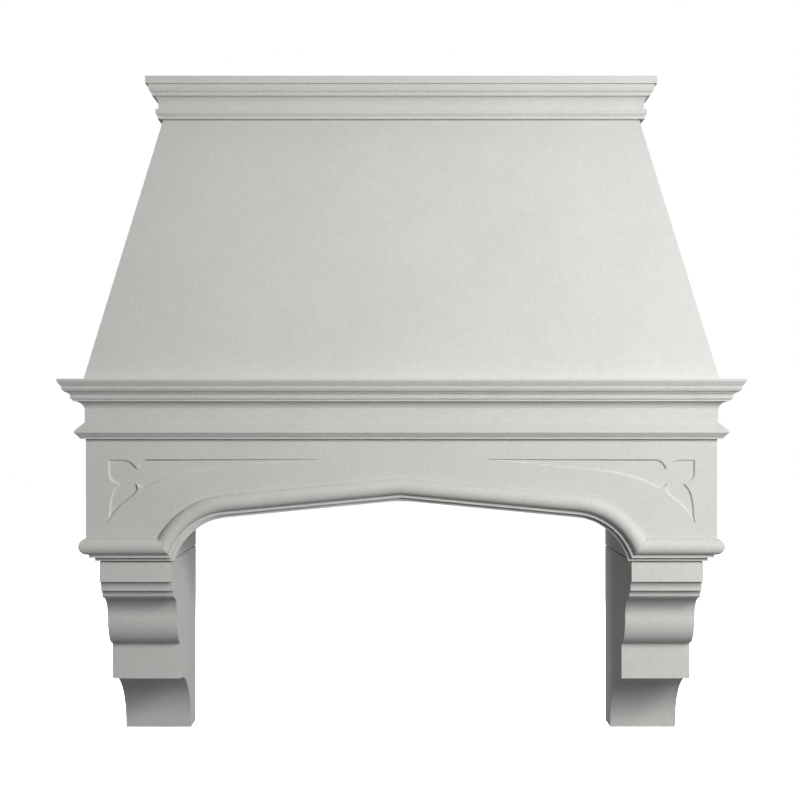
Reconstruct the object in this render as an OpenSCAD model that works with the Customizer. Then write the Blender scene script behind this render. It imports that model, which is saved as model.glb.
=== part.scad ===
// Wall-hung stone range hood with a steel liner, filters, blower and duct inside it.
// X is to the right, the wall is the plane Y = 0, the hood stands out towards -Y and +Z is up.
// Heights are counted from the foot of the corbels; the origin is the centre of the ledger's
// wall bolts, so every piece is drawn by height and then lowered by origin_h.

/* [Corbels] */
// Clear width between the two corbels
opening_w = 1220; // [1180:5:1280]
// Width of one corbel
corbel_w = 190; // [170:1:230]
// Height of the lintel's underside above the foot
seam_h = 523; // [519:0.5:530]
// Depth of the foot
foot_d = 107; // [90:1:130]
// Height of the lower cove
cove_h = 180; // [150:1:200]
// How far the plain block above the cove is set back from the top block
block_back = 185; // [170:1:195]
// Height of the top of the plain block
block_top_h = 280; // [270:1:300]
// Set back where the ogee turns from convex to hollow
ogee_back = 117; // [110:1:125]
// Height where the ogee turns from convex to hollow
ogee_h = 357; // [345:1:370]
// Set back of the lower step above the ogee
step2_back = 41; // [36:1:46]
// Height of the lower step
step2_h = 419; // [410:1:425]
// Set back of the upper step
step1_back = 21; // [16:1:26]
// Height of the upper step
step1_h = 441; // [435:1:448]
// Height of the top block's underside
top_block_h = 466.5; // [460:0.5:475]
// Depth of the top block, which the lintel's face is measured from
top_d = 521; // [515:1:540]
// Height of the bed joint between corbel and lintel
joint_h = 3; // [2:0.5:5]
// How far the bed joint is raked back from the faces
joint_rake = 5; // [3:0.5:10]

/* [Lintel] */
// Height of the lintel's top, where the mantel sits
lintel_top_h = 846; // [835:1:860]
// Height of the opening's apex
apex_h = 682; // [675:1:690]
// Fall of the arch's straight sides, in degrees
arch_fall = 5.5; // [4:0.1:7]
// Radius of the haunches
haunch_r = 156.5; // [140:0.5:165]
// Distance from the corbel's inner face to the haunch's centre
haunch_in = 160.5; // [158:0.5:175]
// Stand of the lowest fillet beyond the corbel
fillet2_p = 10; // [8:0.5:14]
// Stand of the upper fillet
fillet1_p = 24; // [20:0.5:28]
// Stand of the round moulding
torus_p = 47.6; // [44:0.2:52]
// Stand of the plain frieze
frieze_p = 30.5; // [28:0.5:34]
// Width of the lowest fillet
fillet2_w = 9.5; // [8:0.5:12]
// Width of the upper fillet
fillet1_w = 8.5; // [6:0.5:10]
// Width of the whole arch moulding
mould_w = 62.5; // [60:0.5:70]
// How far the front panel's back face is set back from the top block
panel_back = 21; // [15:1:28]
// Thickness of the stone walls
stone_t = 38; // [30:1:45]
// Depth of the sunk spandrel panels
sunk_t = 5; // [3:0.5:8]

/* [Mantel and chimney] */
// Stand of the mantel's top fillet
mantel_p = 94.4; // [90:0.2:100]
// Height of the mantel
mantel_h = 157; // [150:1:170]
// Stand of the plain neck under the cornice
neck_p = 33; // [30:0.5:38]
// Stand of the bed mould's nose
bed_p = 57.4; // [52:0.2:60]
// Height of the bed mould
bed_h = 44; // [40:1:50]
// Height of the cornice from its cove to the top
cornice_h = 77; // [74:1:84]
// Stand of the chimney's foot
chimney_p = 36; // [30:1:45]
// Height of the chimney's top
chimney_top_h = 1719; // [1600:1:1800]
// Room between the duct and the chimney's front at its top, which sets how far the chimney leans in
duct_room = 21; // [10:1:54]
// Height of the crown moulding
crown_h = 112; // [104:1:125]
// Radius of the dowels between the courses
dowel_r = 6; // [4:0.5:8]

/* [Wall steel] */
// Spacing of the studs that the bolts go into
stud_gap = 406.4; // [380:0.4:420]
// Distance between the ledger's two rows of bolts
ledger_row_gap = 70; // [50:1:80]
// Height of the ledger's upright leg
ledger_leg_h = 120; // [105:1:130]
// Radius of the wall bolt holes
wall_hole_r = 5.5; // [4:0.1:7]
// Thickness of the ledger's steel
ledger_t = 6; // [4:0.5:8]
// Side of the square tube in a corbel
arm_side = 50; // [40:1:55]
// Length of the square tube in a corbel
arm_len = 290; // [250:1:300]

/* [Liner] */
// How far the liner's underside is below the lintel's top, and above the line of sight under the arch
liner_down = 146; // [131:1:151]
// Height of the liner pan
pan_h = 100; // [90:1:110]
// Width of the pan between its upright walls
pan_w = 1120; // [1100:1:1130]
// Thickness of the liner's sheet
sheet_t = 1.5; // [1:0.1:3]
// Width of one filter
filter_w = 340; // [320:1:344]
// How far the filters stop short of the front panel, which leaves room for the lamps and knobs
filter_front = 110; // [108:1:120]
// Thickness of one filter
filter_t = 20; // [16:1:24]
// Number of slats in a filter
slat_count = 9; // [6:1:10]
// Radius of a bail handle's wire
bail_wire_r = 2; // [1.5:0.1:2.5]
// Drop of a bail handle
bail_drop = 26; // [20:1:28]
// Radius of a lamp's can
lamp_r = 30; // [25:0.5:33]
// Radius of a knob
knob_r = 15; // [12:0.5:18]
// Height of a knob
knob_h = 18; // [14:0.5:19]
// Radius of a knob's spindle
spindle_r = 3; // [2.5:0.1:4]

/* [Blower and duct] */
// Clearance between the scroll's front and the plenum's
scroll_gap = 10.5; // [6:0.5:20]
// Width of the blower wheel
wheel_w = 190; // [160:1:200]
// Number of blades
blade_count = 32; // [16:1:40]
// Radius of the fan shaft
shaft_r = 6; // [5:0.5:8]
// Radius of the motor
motor_r = 48; // [40:1:52]
// Width of the scroll between its outer faces
scroll_w = 222; // [214:1:240]
// Outer radius of the duct
duct_r = 125; // [100:1:128]
// Distance of the duct's axis from the wall
duct_d = 190; // [180:1:200]
// Height of the duct collar that holds the flaps
collar_h = 100; // [80:1:110]
// Radius of the cable gland's bore
gland_r = 6; // [4:0.5:8]

/* [Hidden] */

// Running clearance of what slides or seats, and of what turns in a bore
seat_gap = 0.3;
turn_gap = 0.05;
arc_steps = 12;
stone = [0.78, 0.77, 0.74];
steel = [0.62, 0.64, 0.66];
zinc = [0.55, 0.57, 0.60];
black = [0.16, 0.16, 0.17];

block_d = top_d - block_back;
ogee_d = top_d - ogee_back;
step2_d = top_d - step2_back;
step1_d = top_d - step1_back;
panel_back_d = top_d - panel_back;
mantel_top_h = lintel_top_h + mantel_h;
chimney_in = top_d + chimney_p - stone_t - duct_room - duct_r - duct_d;
liner_h = lintel_top_h - liner_down;
// The ledger's wall bolts, which are the origin, with the ledger's top this far under the mantel's
ledger_down = 3;
origin_h = mantel_top_h - ledger_down - ledger_leg_h / 2;

inner_x = opening_w / 2;
outer_x = inner_x + corbel_w;
corbel_x = inner_x + corbel_w / 2;

// Lowers what is drawn by height above the foot to the part's own origin
module by_foot() translate([0, 0, -origin_h]) children();

// A hollow quarter curve that leaves a upright and reaches b level
function hollow(a, b) = [for (i = [0 : arc_steps]) let(t = 90 * i / arc_steps)
    [a.x + (b.x - a.x) * (1 - cos(t)), a.y + (b.y - a.y) * sin(t)]];
// A quarter curve that leaves a level and reaches b upright
function swell(a, b) = [for (i = [0 : arc_steps]) let(t = 90 * i / arc_steps)
    [a.x + (b.x - a.x) * sin(t), a.y + (b.y - a.y) * (1 - cos(t))]];
// A bend from a to b that leans towards the point c
function bend(a, c, b) = [for (i = [0 : arc_steps]) let(t = i / arc_steps)
    a * (1 - t) * (1 - t) + c * 2 * t * (1 - t) + b * t * t];
function reversed(v) = [for (i = [len(v) - 1 : -1 : 0]) v[i]];

// A side view of [depth, height] points as a solid of the given width about x = 0
module side_solid(width, points)
    translate([-width / 2, 0, 0]) rotate([90, 0, 90])
        linear_extrude(width) polygon([for (p = points) [-p.x, p.y]]);

// A front view of [x, height] points as a solid from one depth to another
module front_solid(depth_a, depth_b, points)
    translate([0, -depth_a, 0]) rotate([90, 0, 0])
        linear_extrude(depth_b - depth_a) polygon(points);

// A box from one side, depth and height to another
module slab(x, d, h)
    translate([x[0], -d[1], h[0]]) cube([x[1] - x[0], d[1] - d[0], h[1] - h[0]]);

// The same for both sides of the hood
module both_sides() {
    children();
    mirror([1, 0, 0]) children();
}

// A block against the wall whose front and two sides carry one moulding, mitred at the corners.
// stand lists [how far it stands out, height] from bottom to top.
module moulded_block(half_w, depth, stand) {
    low = stand[0].y;
    high = stand[len(stand) - 1].y;
    intersection() {
        side_solid(4 * half_w, concat([[0, low]], [for (s = stand) [depth + s.x, s.y]], [[0, high]]));
        front_solid(0, 2 * depth, concat(
            [for (s = stand) [half_w + s.x, s.y]],
            reversed([for (s = stand) [-half_w - s.x, s.y]])));
    }
}

// Corbels

corbel_top_h = seam_h - joint_h;
corbel_profile = concat(
    [[0, 0], [foot_d, 0]],
    hollow([foot_d, joint_h], [block_d, cove_h]),
    swell([block_d, block_top_h], [ogee_d, ogee_h]),
    hollow([ogee_d, ogee_h], [step2_d - 8, step2_h]),
    hollow([step2_d, step2_h + 6], [step1_d - 2, step1_h]),
    [[step1_d, step1_h], [step1_d, step1_h + 11]],
    [[step1_d + 9, top_block_h], [top_d, top_block_h], [top_d, corbel_top_h], [0, corbel_top_h]]);

// The bracket's plate and tube, which the corbel's back is hollowed for
plate_w = 80;
plate_t = 8;
plate_h = [335, 505];
arm_h = 440;
bolt_head_h = 10;
arm_tube_t = 4;

module corbel(side) {
    recess_w = plate_w + 12;
    color(stone) by_foot() difference() {
        translate([side * corbel_x, 0, 0]) side_solid(corbel_w, corbel_profile);
        translate([side * corbel_x, 0, 0]) {
            slab([-recess_w / 2, recess_w / 2], [-1, plate_t + bolt_head_h],
                [plate_h[0] - 6, plate_h[1] + 2]);
            slab([-arm_side / 2 - seat_gap, arm_side / 2 + seat_gap], [-1, plate_t + arm_len + 4],
                [arm_h - arm_side / 2 - 2, arm_h + arm_side / 2 + seat_gap]);
        }
        lintel_dowels(side, seat_gap);
    }
}
module corbel_left() corbel(-1);
module corbel_right() corbel(1);

// The mortar bed between a corbel and the lintel, raked back from the faces
module bed_joint(side) {
    color(stone * 0.55) by_foot() difference() {
        slab([side * corbel_x - corbel_w / 2 + joint_rake, side * corbel_x + corbel_w / 2 - joint_rake],
            [0, top_d - joint_rake], [corbel_top_h, seam_h]);
        lintel_dowels(side, seat_gap);
    }
}
module bed_joint_left() bed_joint(-1);
module bed_joint_right() bed_joint(1);

// Arched lintel

upper_w = fillet2_w + fillet1_w;
torus_r = (mould_w - upper_w) / 2;
torus_from = -acos((fillet1_p - torus_p + torus_r) / torus_r);
// The moulding's section as [how far it stands out, distance from the edge], its round ending stop out
function mould_section(stop) = let(to = acos((stop - torus_p + torus_r) / torus_r)) concat(
    [[fillet2_p, 0], [fillet2_p, fillet2_w], [fillet1_p, fillet2_w], [fillet1_p, upper_w]],
    [for (i = [0 : 2 * arc_steps]) let(t = torus_from + (to - torus_from) * i / (2 * arc_steps))
        [torus_p - torus_r + torus_r * cos(t), upper_w + torus_r + torus_r * sin(t)]]);
haunch_x = inner_x - haunch_in;
haunch_h = apex_h - tan(arch_fall) * haunch_x - haunch_r / cos(arch_fall);
// The point of the curve w outside the opening's edge where it meets the band at the same w
function spring(w) = let(r = haunch_r + w, rise = seam_h + w - haunch_h)
    [haunch_x + sqrt(r * r - rise * rise), seam_h + w];
// Half of the arch's curve, w outside the opening's edge, from the apex down to the band
function arch_curve(w) = let(r = haunch_r + w, low = asin((seam_h + w - haunch_h) / r))
    concat([[0, apex_h + w / cos(arch_fall)]],
        [for (i = [0 : 2 * arc_steps]) let(t = 90 - arch_fall + (low - 90 + arch_fall) * i / (2 * arc_steps))
            [haunch_x + r * cos(t), haunch_h + r * sin(t)]]);
// The mitre where the arch's moulding meets the band's, w outside the opening's edge
function mitre(w) = spring(0) + (spring(mould_w) - spring(0)) * w / mould_w;
function flipped(v) = [for (p = reversed(v)) [-p.x, p.y]];
frieze_d = top_d + frieze_p;
frieze_x = outer_x + frieze_p;
// How far the arch's moulding is let into the panel round it, and across the mitre
let_in = 5;
lap = 1;

// The moulding along the right half of the arch
module arch_moulding() {
    face = [for (s = mould_section(frieze_p - let_in)) [top_d + s.x, s.y]];
    section = concat(face, [[panel_back_d, face[len(face) - 1].y], [panel_back_d, 0]]);
    run = haunch_x * cos(arch_fall) + (apex_h - haunch_h) * sin(arch_fall);
    foot = mitre(0) + [lap, 0];
    head = mitre(1.2 * mould_w) + [lap, 0];
    intersection() {
        union() {
            translate([0, 0, apex_h]) rotate([0, arch_fall, 0]) translate([run / 2 - mould_w, 0, 0])
                side_solid(run + 2 * mould_w, section);
            translate([haunch_x, 0, haunch_h]) rotate([90, 0, 0])
                rotate_extrude(angle = 90 - arch_fall, $fn = 96)
                    polygon([for (s = section) [haunch_r + s.y, s.x]]);
        }
        front_solid(0, 2 * top_d, [[0, seam_h], foot, head, [head.x, apex_h + 2 * mould_w],
            [0, apex_h + 2 * mould_w]]);
    }
}

// The sunk panel of the right spandrel: a trefoil with one tail along the arch and one down the side.
// Its corner is set in from the frieze's side and top.
sunk_in = [58.5, 54.5];
sunk_corner = [frieze_x - sunk_in.x, lintel_top_h - sunk_in.y];
function sunk(x, y) = sunk_corner - [x, y];
tail_tip = [frieze_x - 615, lintel_top_h - 53];
sunk_outline = concat(
    [sunk(0, 0), sunk(38, 0)],
    bend(sunk(38, 0), sunk(60, 0), sunk(74, 21)),
    bend(sunk(76, 21), sunk(83, 1), sunk(104, -1)),
    [tail_tip],
    bend(sunk(270, 28), sunk(168, 36), sunk(106, 70)),
    bend(sunk(106, 70), sunk(88, 80), sunk(76, 68)),
    bend(sunk(78, 72), sunk(80, 86), sunk(58, 102)),
    bend(sunk(58, 102), sunk(26, 122), sunk(-1.5, 168)),
    bend(sunk(2, 150), sunk(3, 82), sunk(25, 67)),
    bend(sunk(25, 65), sunk(1, 58), sunk(0, 34)));

module arched_lintel() {
    stand = concat([for (s = mould_section(frieze_p)) [s.x, seam_h + s.y]], [[frieze_p, lintel_top_h]]);
    // The panel is cut away under the middle of the moulding's round
    mid_w = upper_w + torus_r;
    curve = arch_curve(mid_w);
    hole = concat([for (i = [0 : len(curve) - 2]) curve[i]],
        [mitre(mid_w), mitre(0), [mitre(0).x, seam_h - 1]]);
    color(stone) by_foot() difference() {
        union() {
            difference() {
                moulded_block(outer_x, top_d, stand);
                front_solid(panel_back_d - 1, 2 * top_d, concat(hole, flipped(hole)));
                slab([-inner_x, inner_x], [-1, panel_back_d], [seam_h - 1, lintel_top_h + 1]);
                both_sides() slab([inner_x + stone_t, frieze_x - stone_t], [-1, panel_back_d],
                    [seam_h + stone_t, lintel_top_h + 1]);
            }
            both_sides() arch_moulding();
        }
        both_sides() front_solid(frieze_d - sunk_t, 2 * top_d, sunk_outline);
        for (side = [-1, 1]) {
            lintel_dowels(side, seat_gap);
            rail_screw_holes(side);
        }
        mantel_dowels(seat_gap);
    }
}

// Mantel cornice

module mantel_cornice() {
    bed = lintel_top_h;
    top = mantel_top_h;
    cove_low = top - cornice_h;
    stand = concat(
        [[bed_p - 13.4, bed], [bed_p - 12.9, bed + 3.5], [bed_p, bed + 17], [bed_p - 0.9, bed + 21],
         [neck_p, bed + bed_h]],
        bend([neck_p, cove_low], [neck_p + 6, top - 59.5], [mantel_p - 37.4, top - 57.5]),
        [[mantel_p - 34.4, top - 57.5], [mantel_p - 34.4, top - 53.5], [mantel_p - 31.4, top - 52.5]],
        hollow([mantel_p - 29.6, top - 51], [mantel_p - 25.4, top - 37.5]),
        [[mantel_p - 22.4, top - 37.5]],
        swell([mantel_p - 22.4, top - 35], [mantel_p - 9.4, top - 19]),
        [[mantel_p - 9.4, top - 17.5], [mantel_p - 6.9, top - 17], [mantel_p, top - 6], [mantel_p, top]]);
    color(stone) by_foot() difference() {
        moulded_block(outer_x, top_d, stand);
        slab([-mantel_in_x, mantel_in_x], [-1, mantel_in_d], [bed - 1, top + 1]);
        mantel_dowels(seat_gap);
        chimney_dowels(seat_gap);
        mantel_bolts(seat_gap);
        cleat_pins(seat_gap);
    }
}

// Chimney and crown

chimney_h = chimney_top_h - mantel_top_h;
crown_x = outer_x + chimney_p - chimney_in;
crown_d = top_d + chimney_p - chimney_in;
mantel_in_x = outer_x + chimney_p - stone_t - 22;
mantel_in_d = top_d + chimney_p - stone_t - 36;
crown_in_x = crown_x - stone_t - 6;
crown_in_d = crown_d - stone_t - 6;
crown_top_h = chimney_top_h + crown_h;

module chimney_shell() {
    color(stone) by_foot() difference() {
        moulded_block(outer_x, top_d, [[chimney_p, mantel_top_h], [chimney_p - chimney_in, chimney_top_h]]);
        chimney_hollow();
        chimney_dowels(seat_gap);
        crown_dowels(seat_gap);
    }
}

// The inside of the chimney, which runs out past its top, bottom and back
module chimney_hollow() {
    lean = chimney_in / chimney_h;
    low = [outer_x + chimney_p - stone_t + lean, top_d + chimney_p - stone_t + lean];
    high = low - [1, 1] * lean * (chimney_h + 2);
    intersection() {
        translate([0, 1, 0]) side_solid(4 * outer_x, [[0, mantel_top_h - 1], [low.y + 1, mantel_top_h - 1],
            [high.y + 1, chimney_top_h + 1], [0, chimney_top_h + 1]]);
        front_solid(-2, 2 * top_d, [[low.x, mantel_top_h - 1], [high.x, chimney_top_h + 1],
            [-high.x, chimney_top_h + 1], [-low.x, mantel_top_h - 1]]);
    }
}

module crown_moulding() {
    low = chimney_top_h;
    stand = concat(
        [[13.3, low], [13.3, low + 7], [18.3, low + 14], [18.5, low + 26], [11.4, low + 27]],
        hollow([11.4, low + 40], [25.4, low + 61]),
        [[26.5, low + 61], [28, low + 67.5]],
        swell([28.5, low + 70], [36, low + 88.5]),
        [[36, low + 91], [43, low + 91.5], [43, crown_top_h]]);
    color(stone) by_foot() difference() {
        moulded_block(crown_x, crown_d, stand);
        slab([-crown_in_x, crown_in_x], [-1, crown_in_d], [low - 1, crown_top_h + 1]);
        crown_dowels(seat_gap);
        crown_bolts(seat_gap);
    }
}

// Dowels between the courses. Each is a pin, and with a gap it is the hole for that pin.

dowel_len = 50;
module pin_z(x, d, h, len, r) translate([x, -d, h - len / 2]) cylinder(r = r, h = len, $fn = 32);
module lintel_dowels(side, gap)
    for (d = [60, top_d - 110])
        pin_z(side * (corbel_x + 62), d, seam_h, dowel_len + 2 * gap, dowel_r + gap);
module mantel_dowels(gap)
    both_sides() {
        for (d = [120, 360])
            pin_z(frieze_x - stone_t / 2, d, lintel_top_h, dowel_len + 2 * gap, dowel_r + gap);
        pin_z(outer_x / 3, (panel_back_d + frieze_d) / 2, lintel_top_h, dowel_len + 2 * gap, dowel_r + gap);
    }
module chimney_dowels(gap)
    both_sides() {
        for (d = [120, 360])
            pin_z(outer_x + chimney_p - stone_t / 2, d, mantel_top_h, dowel_len + 2 * gap, dowel_r + gap);
        pin_z(outer_x / 3, top_d + chimney_p - stone_t / 2, mantel_top_h, dowel_len + 2 * gap, dowel_r + gap);
    }
module crown_dowels(gap)
    both_sides() {
        pin_z(crown_x - stone_t / 2, crown_d / 2, chimney_top_h, dowel_len + 2 * gap, dowel_r + gap);
        pin_z(crown_x / 2, crown_d - stone_t / 2, chimney_top_h, dowel_len + 2 * gap, dowel_r + gap);
    }
module course_dowels()
    color(zinc) by_foot() {
        for (side = [-1, 1]) lintel_dowels(side, 0);
        mantel_dowels(0);
        chimney_dowels(0);
        crown_dowels(0);
    }

// Wall steel

// A rod along X, and the fixings that lie along X, each also the hole for itself when it has a gap
module rod_x(x, d, h, r)
    translate([x[0], -d, h]) rotate([0, 90, 0]) cylinder(r = r, h = x[1] - x[0], $fn = 32);
tie_bolt_r = 5;
tie_bolt_in = 45;
head_r = 9;
head_t = 6;
end_plate_d = 100;
tie_bolt_d = 70;
mantel_bolt_rows = [origin_h - ledger_leg_h / 3, origin_h + ledger_leg_h / 4];
module mantel_bolts(gap)
    both_sides() for (h = mantel_bolt_rows)
        rod_x([mantel_in_x - seat_gap - ledger_t, mantel_in_x + tie_bolt_in + gap], tie_bolt_d, h,
            tie_bolt_r + gap);
module crown_bolts(gap)
    both_sides() rod_x([crown_in_x - seat_gap - ledger_t, crown_in_x + 25 + gap], tie_bolt_d / 2,
        crown_tie_h, tie_bolt_r + gap);
module heads_x(x, d, rows, r)
    both_sides() for (h = rows)
        translate([x - head_t, -d, h]) rotate([0, 90, 0]) cylinder(r = r, h = head_t, $fn = 6);

// An angle along the wall with a plate welded to each end
module tied_angle(half_len, low, high, leg_d, end_d) {
    slab([-half_len, half_len], [0, ledger_t], [low, high]);
    slab([-half_len, half_len], [0, leg_d], [high - ledger_t, high]);
    both_sides() slab([half_len - ledger_t, half_len], [0, end_d], [low, high]);
}
module wall_holes(rows, t)
    for (x = [-stud_gap, stud_gap], h = rows)
        translate([x, 1, h]) rotate([90, 0, 0]) cylinder(r = wall_hole_r, h = t + 2, $fn = 32);

ledger_low = origin_h - ledger_leg_h / 2;
ledger_high = origin_h + ledger_leg_h / 2;
module wall_ledger()
    color(zinc) by_foot() difference() {
        tied_angle(mantel_in_x - seat_gap, ledger_low, ledger_high, 50, end_plate_d);
        wall_holes([origin_h - ledger_row_gap / 2, origin_h + ledger_row_gap / 2], ledger_t);
        mantel_bolts(seat_gap);
    }
module ledger_bolts()
    color(steel) by_foot() {
        mantel_bolts(0);
        heads_x(mantel_in_x - seat_gap - ledger_t, tie_bolt_d, mantel_bolt_rows, head_r);
    }

crown_tie_h = chimney_top_h + crown_h / 2;
module crown_tie()
    color(zinc) by_foot() difference() {
        tied_angle(crown_in_x - seat_gap, crown_tie_h - 30, crown_tie_h + 30, 40, 60);
        wall_holes([crown_tie_h], ledger_t);
        crown_bolts(seat_gap);
    }
module crown_tie_bolts()
    color(steel) by_foot() {
        crown_bolts(0);
        heads_x(crown_in_x - seat_gap - ledger_t, tie_bolt_d / 2, [crown_tie_h], head_r);
    }

bracket_hole_x = 50;
bracket_hole_z = 140;
module corbel_bracket(side)
    color(zinc) by_foot() translate([side * corbel_x, 0, 0]) difference() {
        union() {
            slab([-plate_w / 2, plate_w / 2], [0, plate_t], plate_h);
            slab([-arm_side / 2, arm_side / 2], [plate_t, plate_t + arm_len],
                [arm_h - arm_side / 2, arm_h + arm_side / 2]);
        }
        slab([-arm_side / 2 + arm_tube_t, arm_side / 2 - arm_tube_t], [plate_t, plate_t + arm_len + 1],
            [arm_h - arm_side / 2 + arm_tube_t, arm_h + arm_side / 2 - arm_tube_t]);
        for (x = [-1, 1], z = [-1, 1])
            translate([x * bracket_hole_x / 2, 1, (plate_h[0] + plate_h[1]) / 2 + z * bracket_hole_z / 2])
                rotate([90, 0, 0]) cylinder(r = wall_hole_r, h = plate_t + 2, $fn = 32);
    }
module corbel_bracket_left() corbel_bracket(-1);
module corbel_bracket_right() corbel_bracket(1);

// The cleats that stop the chimney's foot from spreading or sliding
cleat_t = 4;
cleat_rise = 30;
cleat_len = 60;
cleat_side_d = 250;
cleat_front_x = 300;
cleat_pin_r = 3;
// A cleat's section, with its outer edge along the chimney's leaning inner face
function cleat_section(low, face) = let(lean = chimney_in / chimney_h, h = mantel_top_h) [
    [low, h], [face - seat_gap, h], [face - seat_gap - lean * cleat_rise, h + cleat_rise],
    [face - seat_gap - lean * cleat_rise - cleat_t, h + cleat_rise],
    [face - seat_gap - cleat_t - lean * cleat_t, h + cleat_t], [low, h + cleat_t]];
chimney_face_x = outer_x + chimney_p - stone_t;
chimney_face_d = top_d + chimney_p - stone_t;
module cleat_pins(gap)
    both_sides() {
        translate([mantel_in_x + 9, -cleat_side_d, mantel_top_h - 30])
            cylinder(r = cleat_pin_r + gap, h = 30 + cleat_t, $fn = 24);
        translate([cleat_front_x, -mantel_in_d - 14, mantel_top_h - 30])
            cylinder(r = cleat_pin_r + gap, h = 30 + cleat_t, $fn = 24);
    }
module chimney_cleats()
    color(zinc) by_foot() difference() {
        both_sides() {
            front_solid(cleat_side_d - cleat_len / 2, cleat_side_d + cleat_len / 2,
                cleat_section(mantel_in_x + 1, chimney_face_x));
            translate([cleat_front_x, 0, 0])
                side_solid(cleat_len, cleat_section(mantel_in_d + 1, chimney_face_d));
        }
        cleat_pins(seat_gap);
    }
module cleat_screws()
    color(steel) by_foot() {
        cleat_pins(0);
        both_sides() {
            translate([mantel_in_x + 9, -cleat_side_d, mantel_top_h + cleat_t])
                cylinder(r = 2 * cleat_pin_r, h = 3, $fn = 24);
            translate([cleat_front_x, -mantel_in_d - 14, mantel_top_h + cleat_t])
                cylinder(r = 2 * cleat_pin_r, h = 3, $fn = 24);
        }
    }

// Liner rails and pan

rail_t = 4;
rail_leg = 40;
rail_low = liner_h + 70;
rail_d = [30, panel_back_d - 20];
rail_screw_r = 3;
rail_screw_h = rail_low + 26;
rail_screw_in = 30;
rail_screw_d = [rail_d[0] + 60, (rail_d[0] + rail_d[1]) / 2, rail_d[1] - 70];
module rail_screw_rods(side, gap)
    for (d = rail_screw_d) mirror([side < 0 ? 1 : 0, 0, 0])
        rod_x([inner_x - rail_t, inner_x + rail_screw_in + gap], d, rail_screw_h, rail_screw_r + gap);
module rail_screw_holes(side) rail_screw_rods(side, seat_gap);
module liner_rail(side)
    color(zinc) by_foot() difference() {
        mirror([side < 0 ? 1 : 0, 0, 0]) {
            slab([inner_x - rail_t, inner_x], rail_d, [rail_low, rail_low + rail_leg]);
            slab([inner_x - rail_leg, inner_x], rail_d, [rail_low, rail_low + rail_t]);
        }
        rail_screw_rods(side, seat_gap);
    }
module liner_rail_left() liner_rail(-1);
module liner_rail_right() liner_rail(1);
module rail_screws()
    color(steel) by_foot() {
        for (side = [-1, 1]) rail_screw_rods(side, 0);
        both_sides() for (d = rail_screw_d)
            rod_x([inner_x - rail_t - 3, inner_x - rail_t], d, rail_screw_h, 2 * rail_screw_r);
    }

rim_x = inner_x - 4;
rim_d = [4, panel_back_d - 4];
rim_top = liner_h + sheet_t;
pan_d = [8, panel_back_d - 8];
pan_top = liner_h + pan_h;
filter_gap = 5;
filter_back_d = 46;
filter_d = panel_back_d - filter_front - filter_back_d;
filter_lip = 8;
filter_pitch = filter_w + filter_gap;
filters = [-1, 0, 1];
filter_open_x = 1.5 * filter_pitch;
filter_open_d = [filter_back_d + filter_lip, filter_back_d + filter_d + filter_lip];
front_rim_d = (filter_open_d[1] + rim_d[1]) / 2;
lamp_x = 360;
knob_x = 60;
plenum_x = 200;
plenum_in = 23;
plenum_d = [90, mantel_in_d - plenum_in];
plenum_lip = 20;
cup_x = [-592, -526];
cup_d = [10, 62];
cup_h = [liner_h - 31, liner_h - 3];
cup_lip = 3.5;
cup_lip_t = 1.2;
runner_t = 1.5;
spout_x = -543;
spout_d = 27;
spout_r = 5;

// The two runners under the rim that hold the grease cup by its lips
module cup_runners() {
    for (s = [-1, 1]) {
        edge = s < 0 ? cup_x[0] - cup_lip - 1.5 : cup_x[1] + cup_lip + 1.5;
        slab([edge - (s < 0 ? runner_t : 0), edge + (s < 0 ? 0 : runner_t)], cup_d,
            [cup_h[1] - cup_lip_t - 2, liner_h]);
        slab(s < 0 ? [edge - runner_t, cup_x[0] - seat_gap] : [cup_x[1] + seat_gap, edge + runner_t], cup_d,
            [cup_h[1] - cup_lip_t - seat_gap - runner_t, cup_h[1] - cup_lip_t - seat_gap]);
    }
}

module liner_pan()
    color(steel) by_foot() difference() {
        union() {
            slab([-rim_x, rim_x], rim_d, [liner_h, rim_top]);
            difference() {
                slab([-pan_w / 2, pan_w / 2], pan_d, [liner_h, pan_top]);
                slab([sheet_t - pan_w / 2, pan_w / 2 - sheet_t], pan_d + [sheet_t, -sheet_t],
                    [liner_h - 1, pan_top - sheet_t]);
            }
            both_sides() slab([pan_w / 2 - 1, inner_x - rail_t - 2], [rail_d[0], rail_d[1]],
                [rail_low + rail_t, rail_low + rail_t + sheet_t]);
            cup_runners();
        }
        slab([-filter_open_x, filter_open_x], filter_open_d, [liner_h - 1, rim_top + 1]);
        slab([-plenum_x + plenum_lip, plenum_x - plenum_lip], plenum_d + [plenum_lip, -plenum_lip],
            [pan_top - 5, pan_top + 1]);
        for (s = [-1, 1]) {
            translate([s * lamp_x, -front_rim_d, liner_h - 1])
                cylinder(r = lamp_r + seat_gap, h = 5, $fn = 48);
            translate([s * knob_x, -front_rim_d, liner_h - 1]) cylinder(r = spindle_r + 2, h = 5, $fn = 32);
        }
        translate([spout_x, -spout_d, liner_h - 1]) cylinder(r = spout_r + seat_gap, h = 5, $fn = 32);
    }

// Filters

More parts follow.
